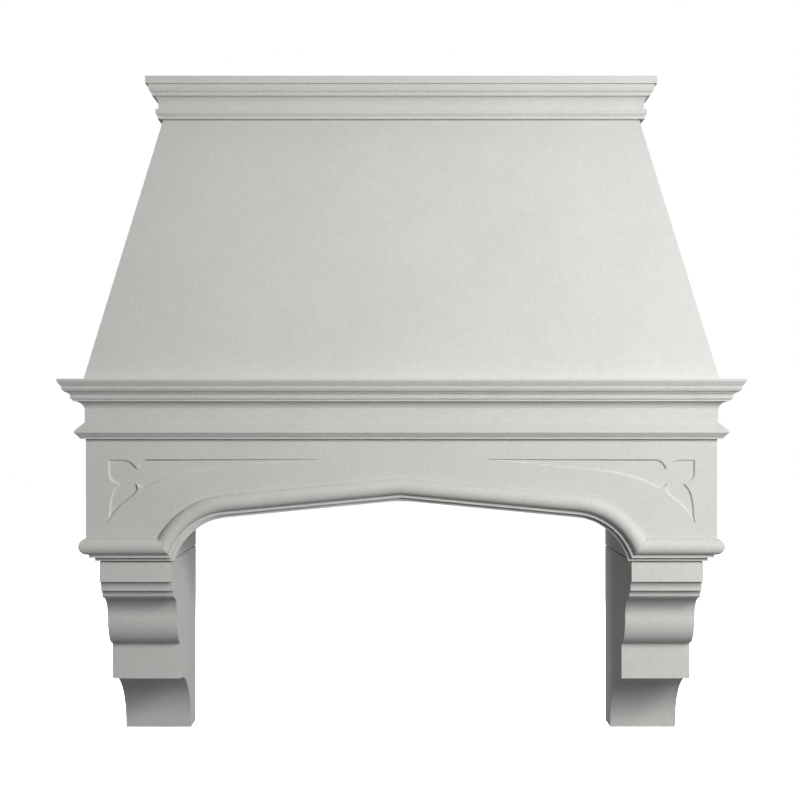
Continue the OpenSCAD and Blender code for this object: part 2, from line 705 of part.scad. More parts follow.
filter_low = rim_top + seat_gap;
filter_rail = 14;
bail_x = 30;
bail_d = filter_back_d + filter_d - 26;
bail_h = filter_low - 5;
ear_t = 2;
module filter_frame(i)
    color(steel) by_foot() translate([i * filter_pitch, 0, 0]) difference() {
        union() {
            slab([-filter_w / 2, filter_w / 2], [filter_back_d, filter_back_d + filter_d],
                [filter_low, filter_low + filter_t]);
            both_sides() slab([bail_x + bail_wire_r + 0.5, bail_x + bail_wire_r + 0.5 + ear_t],
                [bail_d - 4, bail_d + 4], [bail_h - 4, filter_low]);
        }
        slab([filter_rail - filter_w / 2, filter_w / 2 - filter_rail],
            [filter_back_d + filter_rail, filter_back_d + filter_d - filter_rail - 18],
            [filter_low - 1, filter_low + filter_t + 1]);
        both_sides() rod_x([bail_x, bail_x + 10], bail_d, bail_h, bail_wire_r + turn_gap);
    }
module filter_frame_1() filter_frame(filters[0]);
module filter_frame_2() filter_frame(filters[1]);
module filter_frame_3() filter_frame(filters[2]);

// Two rows of folded channels, the upper row bridging the gaps of the lower
module filter_baffles(i) {
    pitch = (filter_w - 2 * filter_rail) / slat_count;
    wide = pitch * 0.7;
    t = 1;
    deep = 6;
    run = [filter_back_d + filter_rail, filter_back_d + filter_d - filter_rail - 18];
    edge = wide / 2;
    // A channel with its floor at height h and its sides going up, or down where up is -1
    function channel(h, up) = [
        [-edge, h], [edge, h], [edge, h + up * deep], [edge - t, h + up * deep], [edge - t, h + up * t],
        [t - edge, h + up * t], [t - edge, h + up * deep], [-edge, h + up * deep]];
    color(steel) by_foot() translate([i * filter_pitch, 0, 0]) {
        for (k = [0 : slat_count - 1]) translate([(k - (slat_count - 1) / 2) * pitch, 0, 0])
            front_solid(run[0], run[1], channel(filter_low + 2, 1));
        for (k = [1 : slat_count - 1]) translate([(k - slat_count / 2) * pitch, 0, 0])
            front_solid(run[0], run[1], channel(filter_low + filter_t - 2, -1));
    }
}
module filter_baffles_1() filter_baffles(filters[0]);
module filter_baffles_2() filter_baffles(filters[1]);
module filter_baffles_3() filter_baffles(filters[2]);

// A wire handle whose two ends turn in the ears under the filter's front rail
module filter_bail(i) {
    low = bail_h - bail_drop + bail_wire_r;
    color(steel) by_foot() translate([i * filter_pitch, 0, 0]) {
        both_sides() {
            rod_x([bail_x, bail_x + bail_wire_r + 0.5 + ear_t + 1], bail_d, bail_h, bail_wire_r);
            translate([bail_x, -bail_d, bail_h]) sphere(r = bail_wire_r, $fn = 24);
            translate([bail_x, -bail_d, low]) cylinder(r = bail_wire_r, h = bail_h - low, $fn = 24);
            translate([bail_x, -bail_d, low]) sphere(r = bail_wire_r, $fn = 24);
        }
        rod_x([-bail_x, bail_x], bail_d, low, bail_wire_r);
    }
}
module filter_bail_1() filter_bail(filters[0]);
module filter_bail_2() filter_bail(filters[1]);
module filter_bail_3() filter_bail(filters[2]);

// Two sprung ball catches for each filter, on the rim in front of it
catch_w = 12;
ball_r = 3;
module filter_catches()
    color(zinc) by_foot() for (i = filters, s = [-1, 1]) {
        x = i * filter_pitch + s * filter_w / 4;
        nose = filter_open_d[1] - filter_lip + seat_gap + ball_r;
        h = filter_low + filter_t / 2;
        slab([x - catch_w / 2, x + catch_w / 2], [filter_open_d[1], filter_open_d[1] + catch_w],
            [rim_top, h + ball_r + 2]);
        translate([x, -nose, h]) sphere(r = ball_r, $fn = 24);
        translate([x, -nose, h]) rotate([90, 0, 0])
            cylinder(r = ball_r, h = filter_open_d[1] + 1 - nose, $fn = 24);
    }

module grease_gutter()
    color(steel) by_foot() difference() {
        d = [pan_d[0] + sheet_t + 2, filter_back_d - 2];
        x = pan_w / 2 - sheet_t - 2;
        union() {
            slab([-x, x], d, [rim_top, rim_top + 12]);
            translate([spout_x, -spout_d, cup_h[1] + 0.4])
                cylinder(r = spout_r, h = rim_top - cup_h[1], $fn = 32);
        }
        slab([sheet_t - x, x - sheet_t], d + [sheet_t, -sheet_t], [rim_top + sheet_t, rim_top + 13]);
        translate([spout_x, -spout_d, cup_h[1] - 1]) cylinder(r = spout_r - 1, h = 20, $fn = 32);
    }

module grease_cup()
    color(steel) by_foot() difference() {
        union() {
            slab(cup_x, cup_d, cup_h);
            slab(cup_x + [-cup_lip, cup_lip], cup_d, [cup_h[1] - cup_lip_t, cup_h[1]]);
        }
        slab(cup_x + [cup_lip_t, -cup_lip_t], cup_d + [cup_lip_t, -cup_lip_t],
            [cup_h[0] + cup_lip_t, cup_h[1] + 1]);
    }

// Controls and lamps

plate_low = liner_h - 1.2;
module control_plate()
    color(steel) by_foot() difference() {
        slab([-110, 110], [front_rim_d - 20, front_rim_d + 20], [plate_low, liner_h]);
        for (s = [-1, 1]) translate([s * knob_x, -front_rim_d, plate_low - 1])
            cylinder(r = spindle_r + 2, h = 5, $fn = 32);
    }
switch_side = 30;
switch_t = 20;
module knob(side)
    color(black) by_foot() translate([side * knob_x, -front_rim_d, 0]) {
        top = plate_low - 0.5;
        translate([0, 0, top - knob_h]) cylinder(r1 = knob_r - 1.5, r2 = knob_r, h = knob_h, $fn = 48);
        translate([0, 0, top - 1]) cylinder(r = spindle_r, h = rim_top + switch_t + 4 - top, $fn = 32);
        translate([-1.5, 0, top - knob_h - 1.2]) cube([3, knob_r - 2, 2]);
    }
module fan_knob() knob(-1);
module lamp_knob() knob(1);
module switch_body(side)
    color(black) by_foot() difference() {
        slab([side * knob_x - switch_side / 2, side * knob_x + switch_side / 2],
            [front_rim_d - switch_side / 2, front_rim_d + switch_side / 2], [rim_top, rim_top + switch_t]);
        translate([side * knob_x, -front_rim_d, rim_top - 1])
            cylinder(r = spindle_r + turn_gap, h = switch_t + 2, $fn = 32);
    }
module fan_switch() switch_body(-1);
module lamp_dimmer() switch_body(1);

can_t = 3.5;
can_h = 36;
module lamp_can(side)
    color(steel) by_foot() translate([side * lamp_x, -front_rim_d, 0]) difference() {
        union() {
            translate([0, 0, liner_h - 1.5]) cylinder(r = lamp_r + 7, h = 1.5, $fn = 64);
            translate([0, 0, liner_h - 0.5]) cylinder(r = lamp_r, h = can_h, $fn = 64);
        }
        translate([0, 0, liner_h - 3]) cylinder(r = lamp_r - can_t, h = can_h, $fn = 64);
    }
module lamp_can_left() lamp_can(-1);
module lamp_can_right() lamp_can(1);
module lamp_lens(side)
    color([0.9, 0.92, 0.93]) by_foot() translate([side * lamp_x, -front_rim_d, liner_h])
        cylinder(r = lamp_r - can_t - seat_gap, h = 3, $fn = 64);
module lamp_lens_left() lamp_lens(-1);
module lamp_lens_right() lamp_lens(1);
module lamp_board(side)
    color([0.95, 0.95, 0.9]) by_foot() translate([side * lamp_x, -front_rim_d, liner_h + can_h - 3 - 2]) {
        cylinder(r = lamp_r - can_t - seat_gap, h = 2, $fn = 64);
        for (a = [0 : 60 : 300]) rotate([0, 0, a]) translate([14, -2, -1]) cube([4, 4, 1.5]);
    }
module lamp_board_left() lamp_board(-1);
module lamp_board_right() lamp_board(1);

// Blower

cut_angle = 75;
// The scroll starts scroll_r0 out from the wheel's axis and opens out by scroll_open
wheel_gap = 10;
scroll_open = 68;
// The scroll's reach to the front is its radius there, at right angles to the axis
front_open = scroll_open * (180 - cut_angle) / (360 - cut_angle);
scroll_r0 = (plenum_d[1] - scroll_gap - sheet_t - duct_d - scroll_open / 2 - front_open)
    / (1.5 + cos(cut_angle) / 2);
wheel_r = scroll_r0 - wheel_gap;
scroll_r1 = scroll_r0 + scroll_open;
outlet_rise = 150;
outlet_in = scroll_r0 * cos(cut_angle);
blower_h = pan_top + 185;
blower_d = duct_d + (outlet_in + scroll_r1) / 2;
plenum_top = blower_h + outlet_rise;
inlet_r = wheel_r - 27;
scroll_steps = 36;
// The scroll's outline, set in by t and with its outlet drawn over_top past its end
function scroll_outline(t, over_top) = concat(
    [for (i = [0 : scroll_steps]) let(a = cut_angle + (360 - cut_angle) * i / scroll_steps,
        r = scroll_r0 + (scroll_r1 - scroll_r0) * i / scroll_steps - t)
        [blower_d - r * cos(a), blower_h + r * sin(a)]],
    [[blower_d - scroll_r1 + t, plenum_top + over_top - sheet_t],
     [blower_d - outlet_in - t, plenum_top + over_top - sheet_t]]);

module plenum_box()
    color(steel) by_foot() difference() {
        union() {
            slab([-plenum_x, plenum_x], plenum_d, [pan_top, plenum_top]);
            slab([-plenum_x - plenum_lip, plenum_x + plenum_lip], plenum_d + [-plenum_lip, plenum_lip],
                [pan_top, pan_top + sheet_t]);
        }
        slab([sheet_t - plenum_x, plenum_x - sheet_t], plenum_d + [sheet_t, -sheet_t],
            [pan_top - 1, plenum_top - sheet_t]);
        slab([sheet_t - scroll_w / 2, scroll_w / 2 - sheet_t],
            [blower_d - scroll_r1 + sheet_t, blower_d - outlet_in - sheet_t],
            [plenum_top - 5, plenum_top + 1]);
    }

module blower_scroll()
    color(zinc) by_foot() difference() {
        side_solid(scroll_w, scroll_outline(0, 0));
        side_solid(scroll_w - 2 * sheet_t, scroll_outline(sheet_t, 2));
        rod_x([-scroll_w, scroll_w], blower_d, blower_h, inlet_r);
    }

// A ring in each inlet, with a flange outside the scroll and a rounded lip
ring_sleeve = 8;
module inlet_rings()
    color(steel) by_foot() for (s = [0, 1]) mirror([s, 0, 0])
        translate([scroll_w / 2, -blower_d, blower_h]) rotate([0, 90, 0]) rotate_extrude($fn = 72)
            polygon(concat([[inlet_r - seat_gap, -ring_sleeve], [inlet_r - seat_gap, 0], [inlet_r + 13, 0],
                [inlet_r + 13, sheet_t]], reversed(hollow([inlet_r - 2, -2], [inlet_r + 8, sheet_t + 4])),
                [[inlet_r - 2, -ring_sleeve]]));

blade_in_r = wheel_r - 18;
blade_t = 1.2;
hub_r = 14;
hub_len = 30;
module blower_wheel()
    color(zinc) by_foot() translate([0, -blower_d, blower_h]) rotate([0, 90, 0]) difference() {
        union() {
            for (k = [0 : blade_count - 1]) rotate([0, 0, 360 * k / blade_count])
                translate([blade_in_r, 0, -wheel_w / 2]) rotate([0, 0, 28]) cube([18, blade_t, wheel_w]);
            for (z = [-wheel_w / 2, wheel_w / 2 - 4]) translate([0, 0, z]) difference() {
                cylinder(r = wheel_r, h = 4, $fn = 96);
                translate([0, 0, -1]) cylinder(r = blade_in_r + 6, h = 6, $fn = 96);
            }
            translate([0, 0, -1.5]) cylinder(r = wheel_r, h = 3, $fn = 96);
            translate([0, 0, -hub_len / 2]) cylinder(r = hub_r, h = hub_len, $fn = 48);
        }
        translate([0, 0, -hub_len]) cylinder(r = shaft_r, h = 2 * hub_len, $fn = 48);
    }
motor_x = [hub_len / 2 + 5, hub_len / 2 + 85];
shaft_in = 42;
module fan_shaft()
    color(steel) by_foot() rod_x([-hub_len / 2 - 5, motor_x[0] + shaft_in], blower_d, blower_h, shaft_r);
module fan_motor()
    color(black) by_foot() difference() {
        union() {
            rod_x(motor_x + [4, -4], blower_d, blower_h, motor_r);
            rod_x(motor_x, blower_d, blower_h, motor_r - 4);
        }
        rod_x([motor_x[0] - 1, motor_x[0] + shaft_in + 2], blower_d, blower_h, shaft_r + turn_gap);
    }
arm_x = scroll_w / 2 + 14;
module motor_bracket()
    color(zinc) by_foot() difference() {
        union() {
            rod_x([motor_x[1] - 16, arm_x + 3], blower_d, blower_h, motor_r + 4);
            for (a = [90, 210, 330]) translate([0, -blower_d, blower_h]) rotate([a, 0, 0]) {
                translate([arm_x, motor_r, -7]) cube([3, inlet_r + 22 - motor_r, 14]);
                translate([scroll_w / 2, inlet_r + 17, 0]) rotate([0, 90, 0])
                    cylinder(r = 3.5, h = arm_x - scroll_w / 2 + 1, $fn = 24);
            }
        }
        rod_x([motor_x[1] - 17, arm_x + 4], blower_d, blower_h, motor_r + seat_gap);
    }

// Duct

transition_h = 80;
collar_low = plenum_top + transition_h;
collar_top = collar_low + collar_h;
module transition_skin(set_in, over)
    hull() {
        slab([set_in - scroll_w / 2, scroll_w / 2 - set_in],
            [blower_d - scroll_r1 + set_in, blower_d - outlet_in - set_in],
            [plenum_top - over, plenum_top - over + 1]);
        translate([0, -duct_d, collar_low + over - 1]) cylinder(r = duct_r - set_in, h = 1, $fn = 32);
    }
module duct_transition()
    color(zinc) by_foot() difference() {
        transition_skin(0, 0);
        transition_skin(sheet_t, 0.5);
    }
module duct_tube(low, high)
    translate([0, -duct_d, low]) difference() {
        cylinder(r = duct_r, h = high - low, $fn = 96);
        translate([0, 0, -1]) cylinder(r = duct_r - sheet_t, h = high - low + 2, $fn = 96);
    }
flap_h = collar_low + collar_h / 2;
flap_rod_r = 2.5;
flap_off = 6;
flap_t = 1.2;
module flap_rod(side, gap)
    rod_x([-duct_r - 2, duct_r + 2], duct_d + side * flap_off, flap_h, flap_rod_r + gap);
module damper_collar()
    color(zinc) by_foot() difference() {
        duct_tube(collar_low, collar_top);
        flap_rod(-1, turn_gap);
        flap_rod(1, turn_gap);
    }
// A half disc on its rod; it rises about the rod when the blower runs
module damper_flap(side)
    color(steel) by_foot() {
        flap_rod(side, 0);
        intersection() {
            translate([0, -duct_d, flap_h - flap_t / 2])
                cylinder(r = duct_r - sheet_t - 1, h = flap_t, $fn = 96);
            slab([-duct_r, duct_r],
                side < 0 ? [duct_d - duct_r, duct_d - flap_off] : [duct_d + flap_off, duct_d + duct_r],
                [flap_h - flap_t, flap_h + flap_t]);
        }
    }
module damper_flap_front() damper_flap(1);
module damper_flap_rear() damper_flap(-1);
// The pipe's top end is drawn in, so that the next pipe slides over it
spigot_len = 60;
spigot_in = 1.4;
taper = 3;
module duct_pipe() {
    bore_r = duct_r - sheet_t;
    turn = crown_top_h - spigot_len;
    color(zinc) by_foot() translate([0, -duct_d, 0]) rotate_extrude($fn = 96)
        polygon([[bore_r, collar_top], [duct_r, collar_top], [duct_r, turn - taper],
            [duct_r - spigot_in, turn], [duct_r - spigot_in, crown_top_h],
            [bore_r - spigot_in, crown_top_h], [bore_r - spigot_in, turn], [bore_r, turn - taper]]);
}
clamp_h = 40;
module duct_clamp()
    color(steel) by_foot() difference() {
        union() {
            translate([0, -duct_d, collar_top - clamp_h / 2])
                cylinder(r = duct_r + seat_gap + 1.5, h = clamp_h, $fn = 96);
            slab([-4, 4], [duct_d + duct_r, duct_d + duct_r + 16],
                [collar_top - clamp_h / 2, collar_top + clamp_h / 2]);
            rod_x([-10, 10], duct_d + duct_r + 10, collar_top, 3);
        }
        translate([0, -duct_d, collar_top - clamp_h])
            cylinder(r = duct_r + seat_gap, h = 2 * clamp_h, $fn = 96);
        slab([-1, 1], [duct_d + duct_r, duct_d + duct_r + 6], [collar_top - clamp_h, collar_top + clamp_h]);
    }

// Junction box

box_x = [300, 380];
box_d = [200, 280];
box_h = 45;
module junction_box()
    color(zinc) by_foot() difference() {
        slab(box_x, box_d, [pan_top, pan_top + box_h]);
        slab(box_x + [sheet_t, -sheet_t], box_d + [sheet_t, -sheet_t],
            [pan_top + sheet_t, pan_top + box_h + 1]);
        rod_x([box_x[1] - 5, box_x[1] + 1], (box_d[0] + box_d[1]) / 2, pan_top + box_h / 2,
            gland_r + 4 + seat_gap);
    }
module junction_cover()
    color(zinc) by_foot()
        slab(box_x + [-2, 2], box_d + [-2, 2], [pan_top + box_h, pan_top + box_h + sheet_t]);
module cable_gland()
    color(black) by_foot() difference() {
        d = (box_d[0] + box_d[1]) / 2;
        h = pan_top + box_h / 2;
        union() {
            rod_x([box_x[1] - 8, box_x[1] + 20], d, h, gland_r + 4);
            translate([box_x[1], -d, h]) rotate([0, 90, 0]) cylinder(r = gland_r + 8, h = 7, $fn = 6);
        }
        rod_x([box_x[1] - 9, box_x[1] + 21], d, h, gland_r);
    }

corbel_left();
corbel_right();
bed_joint_left();
bed_joint_right();
arched_lintel();
mantel_cornice();
chimney_shell();
crown_moulding();
course_dowels();
corbel_bracket_left();
corbel_bracket_right();
wall_ledger();
ledger_bolts();
crown_tie();
crown_tie_bolts();
chimney_cleats();
cleat_screws();
liner_rail_left();
liner_rail_right();
rail_screws();
liner_pan();
filter_catches();
filter_frame_1();
filter_frame_2();
filter_frame_3();
filter_baffles_1();
filter_baffles_2();
filter_baffles_3();
filter_bail_1();
filter_bail_2();
filter_bail_3();
grease_gutter();
grease_cup();
control_plate();
fan_knob();
lamp_knob();
fan_switch();
lamp_dimmer();
lamp_can_left();
lamp_can_right();
lamp_lens_left();
lamp_lens_right();
lamp_board_left();
lamp_board_right();
plenum_box();
blower_scroll();
inlet_rings();
blower_wheel();
fan_shaft();
fan_motor();
motor_bracket();
duct_transition();
damper_collar();
damper_flap_front();
damper_flap_rear();
duct_pipe();
duct_clamp();
junction_box();
junction_cover();
cable_gland();
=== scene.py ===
import math

import bmesh
import bpy
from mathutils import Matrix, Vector


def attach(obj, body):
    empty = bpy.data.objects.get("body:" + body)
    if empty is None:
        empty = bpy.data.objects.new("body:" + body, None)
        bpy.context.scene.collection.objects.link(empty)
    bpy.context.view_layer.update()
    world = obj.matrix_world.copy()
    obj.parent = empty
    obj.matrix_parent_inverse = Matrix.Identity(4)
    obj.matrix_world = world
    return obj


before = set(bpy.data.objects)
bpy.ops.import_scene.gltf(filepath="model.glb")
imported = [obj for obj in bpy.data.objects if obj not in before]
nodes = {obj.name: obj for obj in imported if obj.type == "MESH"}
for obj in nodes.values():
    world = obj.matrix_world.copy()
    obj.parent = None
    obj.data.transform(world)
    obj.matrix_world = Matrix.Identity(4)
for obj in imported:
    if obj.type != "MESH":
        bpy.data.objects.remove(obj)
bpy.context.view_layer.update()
scene = bpy.context.scene

# The corbels. Each is one block of cast stone on a steel bracket: a plain inner cheek, a stepped and
# coved front, and a hollow run up the inner corner. The stone is white cement, crushed limestone and
# fine sand, rammed in a mould, so it is an even warm grey with a fine grain, small pores and soft arrises.

STONE = (0.618, 0.609, 0.591, 1.0)
STONE_DARK = (0.589, 0.580, 0.562, 1.0)
STONE_WORN = (0.686, 0.676, 0.657, 1.0)
FLECK_SCALE = 105.0
PORE_DEPTH = 0.0006
ARRIS = 0.0016
CORBEL_ARRIS = 0.0022
EDGE_ANGLE = 32.0
FLAT_ANGLE = 0.4
TOUCH = 0.00002


def socket_in(tree, name, kind, value):
    """Adds a named input with its plain value to a node group."""
    made = tree.interface.new_socket(name=name, in_out="INPUT", socket_type=kind)
    made.default_value = value


def new_group(name, inputs, outputs):
    """Starts a node group, and gives it with its input and output nodes."""
    tree = bpy.data.node_groups.new(name, "ShaderNodeTree")
    for label, value in inputs.items():
        kind = "NodeSocketColor" if isinstance(value, tuple) and len(value) == 4 else "NodeSocketFloat"
        kind = "NodeSocketVector" if isinstance(value, tuple) and len(value) == 3 else kind
        socket_in(tree, label, kind, value)
    for label, kind in outputs.items():
        tree.interface.new_socket(name=label, in_out="OUTPUT", socket_type=kind)
    return tree, tree.nodes.new("NodeGroupInput"), tree.nodes.new("NodeGroupOutput")


def put(tree, kind, links=None, **settings):
    """Adds a node. links gives each input a socket to take from, or a plain value."""
    node = tree.nodes.new(kind)
    for key, value in settings.items():
        setattr(node, key, value)
    for key, value in (links or {}).items():
        if isinstance(value, bpy.types.NodeSocket):
            tree.links.new(value, node.inputs[key])
        else:
            node.inputs[key].default_value = value
    return node


def maths(tree, operation, a, b=0.0, clamp=False):
    """The result of one sum on two sockets or values."""
    return put(tree, "ShaderNodeMath", {0: a, 1: b}, operation=operation, use_clamp=clamp).outputs[0]


def blend_colour(tree, factor, a, b, mode="MIX"):
    """Colour a turned to colour b by factor."""
    node = put(tree, "ShaderNodeMix", data_type="RGBA", blend_type=mode)
    for socket, value in ((node.inputs[0], factor), (node.inputs[6], a), (node.inputs[7], b)):
        if isinstance(value, bpy.types.NodeSocket):
            tree.links.new(value, socket)
        else:
            socket.default_value = value
    return node.outputs[2]


def spread(tree, value, low, high, to_low=0.0, to_high=1.0):
    """A value spread from one range to another, and held inside it."""
    links = {"Value": value, "From Min": low, "From Max": high, "To Min": to_low, "To Max": to_high}
    return put(tree, "ShaderNodeMapRange", links).outputs[0]


def noise(tree, vector, scale, detail=3.0, rough=0.5):
    """Plain fractal noise over the object's own metres."""
    links = {"Vector": vector, "Scale": scale, "Detail": detail, "Roughness": rough}
    return put(tree, "ShaderNodeTexNoise", links).outputs[0]


def build_grain_group():
    """Cast grain: sand, cloudy mottling and the pores that air leaves at the mould's face."""
    tree, given, gone = new_group(
        "cast_grain",
        {"Grain Scale": 900.0, "Cloud Scale": 7.0, "Pore Scale": 170.0, "Pore Size": 0.17},
        {"Mottle": "NodeSocketFloat", "Grain": "NodeSocketFloat", "Pores": "NodeSocketFloat",
         "Height": "NodeSocketFloat"})
    place = put(tree, "ShaderNodeTexCoord").outputs["Object"]
    cloud = noise(tree, place, given.outputs["Cloud Scale"], 5.0, 0.62)
    patch = noise(tree, place, maths(tree, "MULTIPLY", given.outputs["Cloud Scale"], 6.0), 3.0, 0.55)
    mottle = maths(tree, "ADD", maths(tree, "MULTIPLY", cloud, 0.65), maths(tree, "MULTIPLY", patch, 0.35))
    grain = noise(tree, place, given.outputs["Grain Scale"], 2.0, 0.7)
    cells = put(tree, "ShaderNodeTexVoronoi",
                {"Vector": place, "Scale": given.outputs["Pore Scale"], "Randomness": 1.0})
    pick = put(tree, "ShaderNodeSeparateColor", {0: cells.outputs["Color"]}).outputs[0]
    radius = maths(tree, "MULTIPLY", given.outputs["Pore Size"], spread(tree, pick, 0.72, 1.0, 0.0, 1.0))
    pores = maths(tree, "LESS_THAN", cells.outputs["Distance"], radius)
    sand = maths(tree, "MULTIPLY", grain, 0.35)
    height = maths(tree, "SUBTRACT", sand, maths(tree, "MULTIPLY", pores, 0.8))
    for label, value in (("Mottle", mottle), ("Grain", grain), ("Pores", pores), ("Height", height)):
        tree.links.new(value, gone.inputs[label])
    return tree


def build_edge_group():
    """Edge wear: how far the surface turns within a few millimetres, broken up by noise."""
    tree, given, gone = new_group(
        "edge_wear", {"Width": 0.004, "Break Scale": 60.0, "Amount": 1.0}, {"Wear": "NodeSocketFloat"})
    eased = put(tree, "ShaderNodeBevel", {"Radius": given.outputs["Width"]}, samples=4)
    flat = put(tree, "ShaderNodeNewGeometry")
    turn = put(tree, "ShaderNodeVectorMath", {0: eased.outputs[0], 1: flat.outputs["Normal"]},
               operation="DOT_PRODUCT").outputs["Value"]
    edge = spread(tree, turn, 0.995, 0.86)
    place = put(tree, "ShaderNodeTexCoord").outputs["Object"]
    broken = spread(tree, noise(tree, place, given.outputs["Break Scale"], 4.0, 0.6), 0.30, 0.62)
    wear = maths(tree, "MULTIPLY", maths(tree, "MULTIPLY", edge, broken), given.outputs["Amount"], clamp=True)
    tree.links.new(wear, gone.inputs["Wear"])
    return tree


grain_group = build_grain_group()
edge_group = build_edge_group()


def new_material(name, **shader):
    """Starts a material, and gives it with its tree and its shader, whose plain sockets are set here."""
    material = bpy.data.materials.new(name)
    material.use_nodes = True
    tree = material.node_tree
    surface = next(n for n in tree.nodes if n.type == "BSDF_PRINCIPLED")
    for key, value in shader.items():
        surface.inputs[key.replace("_", " ")].default_value = value
    return material, tree, surface


def bump(tree, surface, height, distance, strength=1.0):
    """Leads a height in metres times distance to the shader's normal."""
    links = {"Height": height, "Distance": distance, "Strength": strength}
    made = put(tree, "ShaderNodeBump", links)
    tree.links.new(made.outputs[0], surface.inputs["Normal"])


def stone_material(name, body, dark, worn, cloud_scale, wear):
    """Cast stone: mottled colour, pores painted darker for the shade and the dust in them, and paler arrises.
    """
    material, tree, surface = new_material(name, Roughness=0.86, IOR=1.5)
    surface.inputs["Specular IOR Level"].default_value = 0.28
    grain = put(tree, "ShaderNodeGroup", {}, node_tree=grain_group)
    grain.inputs["Cloud Scale"].default_value = cloud_scale
    edges = put(tree, "ShaderNodeGroup", {}, node_tree=edge_group)
    edges.inputs["Amount"].default_value = wear
    colour = blend_colour(tree, spread(tree, grain.outputs["Mottle"], 0.36, 0.64), dark, body)
    place = put(tree, "ShaderNodeTexCoord").outputs["Object"]
    fleck = spread(tree, noise(tree, place, FLECK_SCALE, 2.0, 0.6), 0.32, 0.68, 0.970, 1.030)
    sand = maths(tree, "MULTIPLY", spread(tree, grain.outputs["Grain"], 0.30, 0.70, 0.94, 1.05), fleck)
    shade = put(tree, "ShaderNodeCombineColor", {0: sand, 1: sand, 2: sand}).outputs[0]
    colour = blend_colour(tree, 1.0, colour, shade, "MULTIPLY")
    colour = blend_colour(tree, edges.outputs["Wear"], colour, worn)
    # The pores are painted darker: painted shade inside the small holes, with some dust in them.
    dust = maths(tree, "MULTIPLY", grain.outputs["Pores"], 0.45)
    colour = blend_colour(tree, dust, colour, dark, "MULTIPLY")
    tree.links.new(colour, surface.inputs["Base Color"])
    rough = spread(tree, grain.outputs["Grain"], 0.3, 0.7, 0.80, 0.94)
    tree.links.new(rough, surface.inputs["Roughness"])
    bump(tree, surface, grain.outputs["Height"], PORE_DEPTH, 0.55)
    return material


def dress(node, material):
    """Gives a CAD node its material."""
    piece = nodes[node]
    piece.data.materials.clear()
    piece.data.materials.append(material)
    return piece


def ease(piece, width, angle=EDGE_ANGLE, segments=2, flatten=True):
    """Breaks a piece's arrises: joins its faces, takes out flat triangles and rounds the edges left."""
    join = piece.modifiers.new("join", "WELD")
    join.merge_threshold = TOUCH
    if flatten:
        flat = piece.modifiers.new("flat", "DECIMATE")
        flat.decimate_type = "DISSOLVE"
        flat.angle_limit = math.radians(FLAT_ANGLE)
    arris = piece.modifiers.new("arris", "BEVEL")
    arris.width = width
    arris.segments = segments
    arris.limit_method = "ANGLE"
    arris.angle_limit = math.radians(angle)
    arris.use_clamp_overlap = True
    soften(piece, angle)
    return piece


def build_soften_tree():
    """Smooth shading everywhere but at edges that turn more than a given angle."""
    tree = bpy.data.node_groups.new("soften", "GeometryNodeTree")
    tree.interface.new_socket(name="Geometry", in_out="INPUT", socket_type="NodeSocketGeometry")
    tree.interface.new_socket(name="Angle", in_out="INPUT", socket_type="NodeSocketFloat")
    tree.interface.new_socket(name="Geometry", in_out="OUTPUT", socket_type="NodeSocketGeometry")
    given = tree.nodes.new("NodeGroupInput")
    gone = tree.nodes.new("NodeGroupOutput")
    whole = put(tree, "GeometryNodeSetShadeSmooth", {"Geometry": given.outputs[0]}, domain="FACE")
    turn = put(tree, "GeometryNodeInputMeshEdgeAngle").outputs["Unsigned Angle"]
    sharp = put(tree, "FunctionNodeCompare", {0: turn, 1: given.outputs["Angle"]},
                data_type="FLOAT", operation="GREATER_THAN").outputs[0]
    kept = put(tree, "GeometryNodeSetShadeSmooth",
               {"Geometry": whole.outputs[0], "Selection": sharp, "Shade Smooth": False}, domain="EDGE")
    tree.links.new(kept.outputs[0], gone.inputs[0])
    return tree


soften_tree = build_soften_tree()


def soften(piece, angle):
    """Shades a piece smooth between its sharp edges."""
    smooth = piece.modifiers.new("soften", "NODES")
    smooth.node_group = soften_tree
    key = next(i.identifier for i in soften_tree.interface.items_tree if i.name == "Angle")
    smooth[key] = math.radians(angle)
    even = piece.modifiers.new("even", "WEIGHTED_NORMAL")
    even.mode = "FACE_AREA"
    even.weight = 100
    even.keep_sharp = True


corbel_stone = stone_material("cast_stone_corbel", STONE, STONE_DARK, STONE_WORN, 9.0, 0.8)
for side in ("left", "right"):
    ease(dress(f"corbel_{side}", corbel_stone), CORBEL_ARRIS)

# The bed joints. A bed of lime and sand mortar lies between each corbel and the lintel. It is raked back
# from the faces, so it reads as one dark line, and it is coarser and browner than the stone.

MORTAR = (0.130, 0.120, 0.105, 1.0)
MORTAR_SAND = (0.250, 0.235, 0.205, 1.0)
SAND_DEPTH = 0.0012
MORTAR_ANGLE = 40.0

mortar, tree, surface = new_material("lime_mortar", Roughness=0.95)
grain = put(tree, "ShaderNodeGroup", {}, node_tree=grain_group)
grain.inputs["Grain Scale"].default_value = 620.0
grain.inputs["Pore Scale"].default_value = 420.0
grain.inputs["Pore Size"].default_value = 0.4
sandy = spread(tree, grain.outputs["Grain"], 0.38, 0.66)
tree.links.new(blend_colour(tree, sandy, MORTAR, MORTAR_SAND), surface.inputs["Base Color"])
bump(tree, surface, grain.outputs["Height"], SAND_DEPTH)
for side in ("left", "right"):
    soften(dress(f"bed_joint_{side}", mortar), MORTAR_ANGLE)

# The arched lintel. One long hollow casting spans the range: a plain frieze over a flat four-centred arch,
# a roll and two fillets planted round the opening, and a shallow sunk trefoil with tails in each spandrel.

FRIEZE_FACE = -0.5515
SUNK_FLOOR = -0.5465
SLOPE = 0.0045
FLAT_TURN = 0.005
SQUARE_ON = 0.1
MITRE_LIMIT = 0.45
OVER_FLOOR = 0.0002
BEHIND_RIM = 0.0004
CURVE_ANGLE = 30.0

